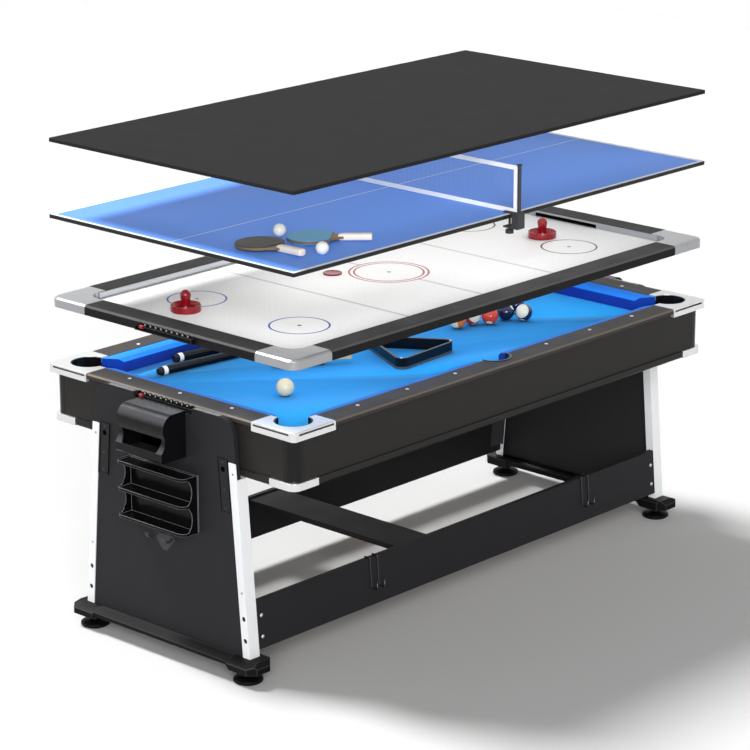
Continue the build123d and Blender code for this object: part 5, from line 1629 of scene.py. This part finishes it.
    def brush(self) -> None:
        """Build the table brush with its tufts in rows."""
        self.shop.fine_copy("brush_back", "brush_handle", "brush_timber", 4.0 * MM, segments=5)
        length, width = self.tuft_field
        root, tip = self.tuft_radii
        columns, rows = self.tuft_counts
        sizes = {
            "Length": length, "Width": width, "Height": self.tuft_height, "Root": root, "Tip": tip,
            "Columns": columns, "Rows": rows, "Splay": self.tuft_splay, "Seed": 7,
        }
        tree = Repeats("brush_hair", sizes)
        tuft = tree.cone(tree.size("Tip"), tree.size("Root"), tree.size("Height"), 6)
        splay = tree.size("Splay")
        low, high = tree.vector(splay * -1, splay * -1, 0.0), tree.vector(splay, splay, 0.0)
        values = {0: low, 1: high, "Seed": tree.size("Seed")}
        lean = tree.out("FunctionNodeRandomValue", {"data_type": "FLOAT_VECTOR"}, values)
        shape = tree.instances(tree.grid(), tuft, lean)
        place, turn = (*self.brush_place, self.bed), (0, 0, self.brush_turn)
        values = {"Geometry": shape, "Translation": place, "Rotation": turn}
        moved = tree.out("GeometryNodeTransform", values=values)
        tree.run(self.shop, moved, "bristle_fibre", "brush_bristles")

    def build(self) -> None:
        """Build the loose gear."""
        self.balls()
        self.triangle()
        self.cues()
        self.brush()


@dataclass
class AirDeck:
    """The air hockey deck with its strikers and puck."""

    shop: Workshop
    outer: Point = (956 * MM, 499 * MM)
    outer_radius: float = 36 * MM
    inner: Point = (858 * MM, 401 * MM)
    inner_radius: float = 52 * MM
    bed: float = 1026 * MM
    striker_profile: tuple[Point, ...] = (
        (0, 0), (46.6, 0), (47.8, 1.2), (48, 2.2), (48, 20.4), (47.6, 21.5), (46.5, 22), (45.4, 22), (44.4, 21.4),
        (43.8, 20.2), (40.6, 11.2), (39.4, 9.6), (37.6, 9), (20.4, 9), (17.6, 9.8), (15.8, 12.4), (14.5, 18),
        (14, 24), (14, 28), (14.4, 33), (15.3, 39), (16.4, 45), (17, 51),
    )
    knob: Point = (51.0, 17.0)
    puck_profile: tuple[Point, ...] = (
        (0, 0), (30.6, 0), (31.3, 0.5), (31.5, 1.2), (31.5, 3.8), (31.2, 4.5), (30.4, 5), (24.5, 5), (24, 4.6),
        (23.5, 4.5), (0, 4.5),
    )
    hole_pitch: float = 25 * MM
    hole_counts: tuple[int, int] = (69, 33)
    hole_radius: float = 0.9 * MM
    hole_depth: float = 0.16 * MM

    def turned(self, node: str, name: str, profile: Sequence[Point], steps: int) -> None:
        """Turn one form at each of a node's solids."""
        bm = bmesh.new()
        for _, _, middle in self.shop.solids(node):
            to = Matrix.Translation((middle.x, middle.y, self.bed))
            lathe(bm, [(radius * MM, height * MM) for radius, height in profile], to, steps)
        self.shop.make(bm, name, "striker_shell", node, crease=44)

    def air_holes(self) -> None:
        """Drill the bed's rows of air holes, each a dark countersunk mark."""
        columns, rows = self.hole_counts
        sizes = {
            "Length": (columns - 1) * self.hole_pitch, "Width": (rows - 1) * self.hole_pitch,
            "Radius": self.hole_radius, "Height": self.hole_depth, "Columns": columns, "Rows": rows,
        }
        tree = Repeats("bed_air_holes", sizes)
        hole = tree.cone(tree.size("Radius"), tree.size("Radius") * 0.8, tree.size("Height"), 8)
        sunk = (0, 0, self.bed - self.hole_depth / 2)
        values = {"Geometry": tree.instances(tree.grid(), hole), "Translation": sunk}
        moved = tree.out("GeometryNodeTransform", values=values)
        tree.run(self.shop, moved, "hole_shade", "air_bed", replace=False)

    def build(self) -> None:
        """Build the deck."""
        copy = self.shop.fine_copy
        inner = four_rounds(*self.inner, self.inner_radius)
        copy("air_rails", "deck_rails", "deck_laminate", 1.0 * MM, segments=3)
        copy("air_corners", "deck_castings", "satin_casting", 1.0 * MM,
             four_rounds(*self.outer, self.outer_radius) + inner, segments=3)
        copy("air_bed", "deck_bed", "air_face", 0, inner)
        copy("air_wall_strips", "deck_wall_strips", "brushed_strip", 0.3 * MM)
        level, radius = self.knob
        dome = [*arc((0, level), radius, 9, 81, 8), (0, level + radius)]
        self.turned("strikers", "striker_pair", [*self.striker_profile, *dome], 80)
        self.turned("puck", "hockey_puck", self.puck_profile, 64)
        self.air_holes()


@dataclass
class Bat:
    """A table tennis bat: plies between two rubbers, and a flattened handle."""

    shop: Workshop
    colour: str
    gap: Point
    turn: float
    half_x: float = 986 * MM
    half_y: float = 532 * MM
    level: float = 1311 * MM
    radius: float = 75 * MM
    blade: float = 12 * MM
    lift: float = 5 * MM
    neck: tuple[Point, ...] = ((88 * MM, -17 * MM), (101 * MM, -12.5 * MM), (101 * MM, 12.5 * MM), (88 * MM, 17 * MM))
    neck_angle: float = 27
    rubber: float = 2.3 * MM
    rubber_angle: float = 34
    rubber_inset: float = 0.8 * MM
    glue_gap: float = 0.05 * MM
    handle: tuple[tuple[float, float, float], ...] = (
        (81.4, 8, 5.6), (83, 10.4, 8.2), (88, 12.4, 10.2), (100, 13, 10.8), (150, 12.6, 10.8), (172, 13.2, 10.9),
        (181, 13.4, 10.9), (184, 12.6, 10), (185, 11, 8.4),
    )

    def frame(self) -> Matrix:
        """Return where the bat lies, tilted from its handle onto the blade's far edge."""
        start = self.radius + self.blade / 2
        tilt = self.lift / (self.radius + start)
        ahead = Vector((math.cos(self.turn), math.sin(self.turn), 0))
        heading = (ahead + Vector((0, 0, tilt))).normalized()
        up = (Vector((0, 0, 1)) - ahead * tilt).normalized()
        spot = Vector((self.gap[0] - self.half_x, self.gap[1] - self.half_y, self.level - start * tilt))
        return Matrix.Translation(spot) @ Matrix((heading, up.cross(heading), up)).transposed().to_4x4()

    def build(self) -> None:
        """Build the bat."""
        to = self.frame()
        low, high = self.lift, self.lift + self.blade
        node = f"bat_{self.colour}"
        bm = bmesh.new()
        outline = [*arc((0, 0), self.radius, self.neck_angle, 360 - self.neck_angle, 80), *self.neck]
        prism(bm, outline, low + self.rubber, high - self.rubber, to)
        self.shop.make(bm, f"{self.colour}_bat_plies", "bat_plies", node, 0.6 * MM)
        bm = bmesh.new()
        sheet = arc((0, 0), self.radius - self.rubber_inset, self.rubber_angle, 360 - self.rubber_angle, 76)
        thickness = self.rubber - self.glue_gap
        for bottom in (low, high - thickness):
            prism(bm, sheet, bottom, bottom + thickness, to)
        self.shop.make(bm, f"{self.colour}_bat_rubbers", f"{self.colour}_rubber", node, 0.5 * MM, replace=False)
        bm = bmesh.new()
        middle = self.lift + self.blade / 2
        rings = [
            [to @ Vector((x * MM, y, middle + z)) for y, z in soft_box(width * MM, height * MM)]
            for x, width, height in self.handle
        ]
        loft(bm, rings)
        self.shop.make(bm, f"{self.colour}_bat_handle", "handle_cream", node, replace=False)


@dataclass
class UpperLayers:
    """The table tennis top with its net and bats, and the dining top."""

    shop: Workshop
    net_low: float = 1325.3 * MM
    net_high: float = 1449 * MM
    net_half: float = 540 * MM
    columns: int = 55
    rows: int = 7
    cord: float = 0.4 * MM
    side_tape: float = 13 * MM
    tape_half: float = 1.8 * MM
    tape_reach: float = 1 * MM
    top_round: tuple[float, float, float] = (980 * MM, 526 * MM, 6 * MM)
    dining_round: tuple[float, float, float] = (973 * MM, 522 * MM, 8 * MM)
    bats: tuple[tuple[str, Point, float], ...] = (
        ("black", (157 * MM, 294 * MM), math.radians(-92)),
        ("blue", (319 * MM, 237 * MM), math.radians(-53)),
    )

    def net(self) -> None:
        """Knot the net from thin cords, and sew its side tapes."""
        sizes = {"Cord": self.cord, "Span": 2 * self.net_half - self.side_tape, "Low": self.net_low,
                 "Height": self.net_high - self.net_low, "Columns": self.columns, "Rows": self.rows}
        tree = Repeats("net_mesh", sizes)
        cord, span, height = tree.size("Cord"), tree.size("Span"), tree.size("Height")
        low, columns, rows = tree.size("Low"), tree.size("Columns"), tree.size("Rows")
        upright = tree.out("GeometryNodeMeshCube", values={"Size": tree.vector(cord, cord, height)})
        level = tree.out("GeometryNodeMeshCube", values={"Size": tree.vector(cord, span, cord)})
        across = {"Count": columns, "Start Location": tree.vector(0.0, span * -0.5, low + height * 0.5),
                  "Offset": tree.vector(0.0, span / (columns - 1), 0.0)}
        up = {"Count": rows, "Start Location": tree.vector(0.0, 0.0, low),
              "Offset": tree.vector(0.0, 0.0, height / (rows - 1))}
        uprights = tree.instances(tree.out("GeometryNodeMeshLine", values=across), upright)
        levels = tree.instances(tree.out("GeometryNodeMeshLine", values=up), level)
        tree.run(self.shop, tree.join(uprights, levels), "net_twine", "net")
        bm = bmesh.new()
        for side in (-1, 1):
            low = (-self.tape_half, side * self.net_half, self.net_low - self.tape_reach)
            high = (self.tape_half, side * (self.net_half - self.side_tape), self.net_high + self.tape_reach)
            block(bm, low, high)
        self.shop.make(bm, "net_side_tapes", "net_tape", "net_tapes", 0.4 * MM, replace=False)

    def build(self) -> None:
        """Build both layers."""
        copy = self.shop.fine_copy
        copy("tennis_top", "tennis_board", "tennis_face", 0.8 * MM, four_rounds(*self.top_round))
        self.net()
        copy("net_tapes", "net_bands", "net_tape", 0.5 * MM)
        copy("net_posts", "net_post_pair", "matt_black", 0.5 * MM)
        for side in ("front", "back"):
            copy(f"clamp_screw_{side}", f"clamp_knob_{side}", "matt_black", 0)
        for colour, gap, turn in self.bats:
            Bat(self.shop, colour, gap, turn).build()
        self.shop.spheres("tennis_balls", "white_balls", "celluloid_shell")
        copy("dining_top", "dining_board_top", "dining_board", 0.8 * MM, four_rounds(*self.dining_round))


def main() -> None:
    """Build the studio and every sub-assembly round the frame."""
    logging.basicConfig(level=logging.INFO, format="%(name)s: %(message)s")
    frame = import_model()
    shop = Workshop(frame)
    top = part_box("tennis_top")[1]
    FINISHES["air_face"] = AirBedFace("air_face", "air_white", paint(236, 236, 236))
    FINISHES["tennis_face"] = TennisFace("tennis_face", "tennis_blue", paint(96, 150, 244), top.x, top.y)
    Studio().build()
    for assembly in (Box, EndFrames, EndFittings, PoolGear, AirDeck, UpperLayers):
        LOG.info("building %s", assembly.__name__)
        assembly(shop).build()


if __name__ == "__main__":
    main()
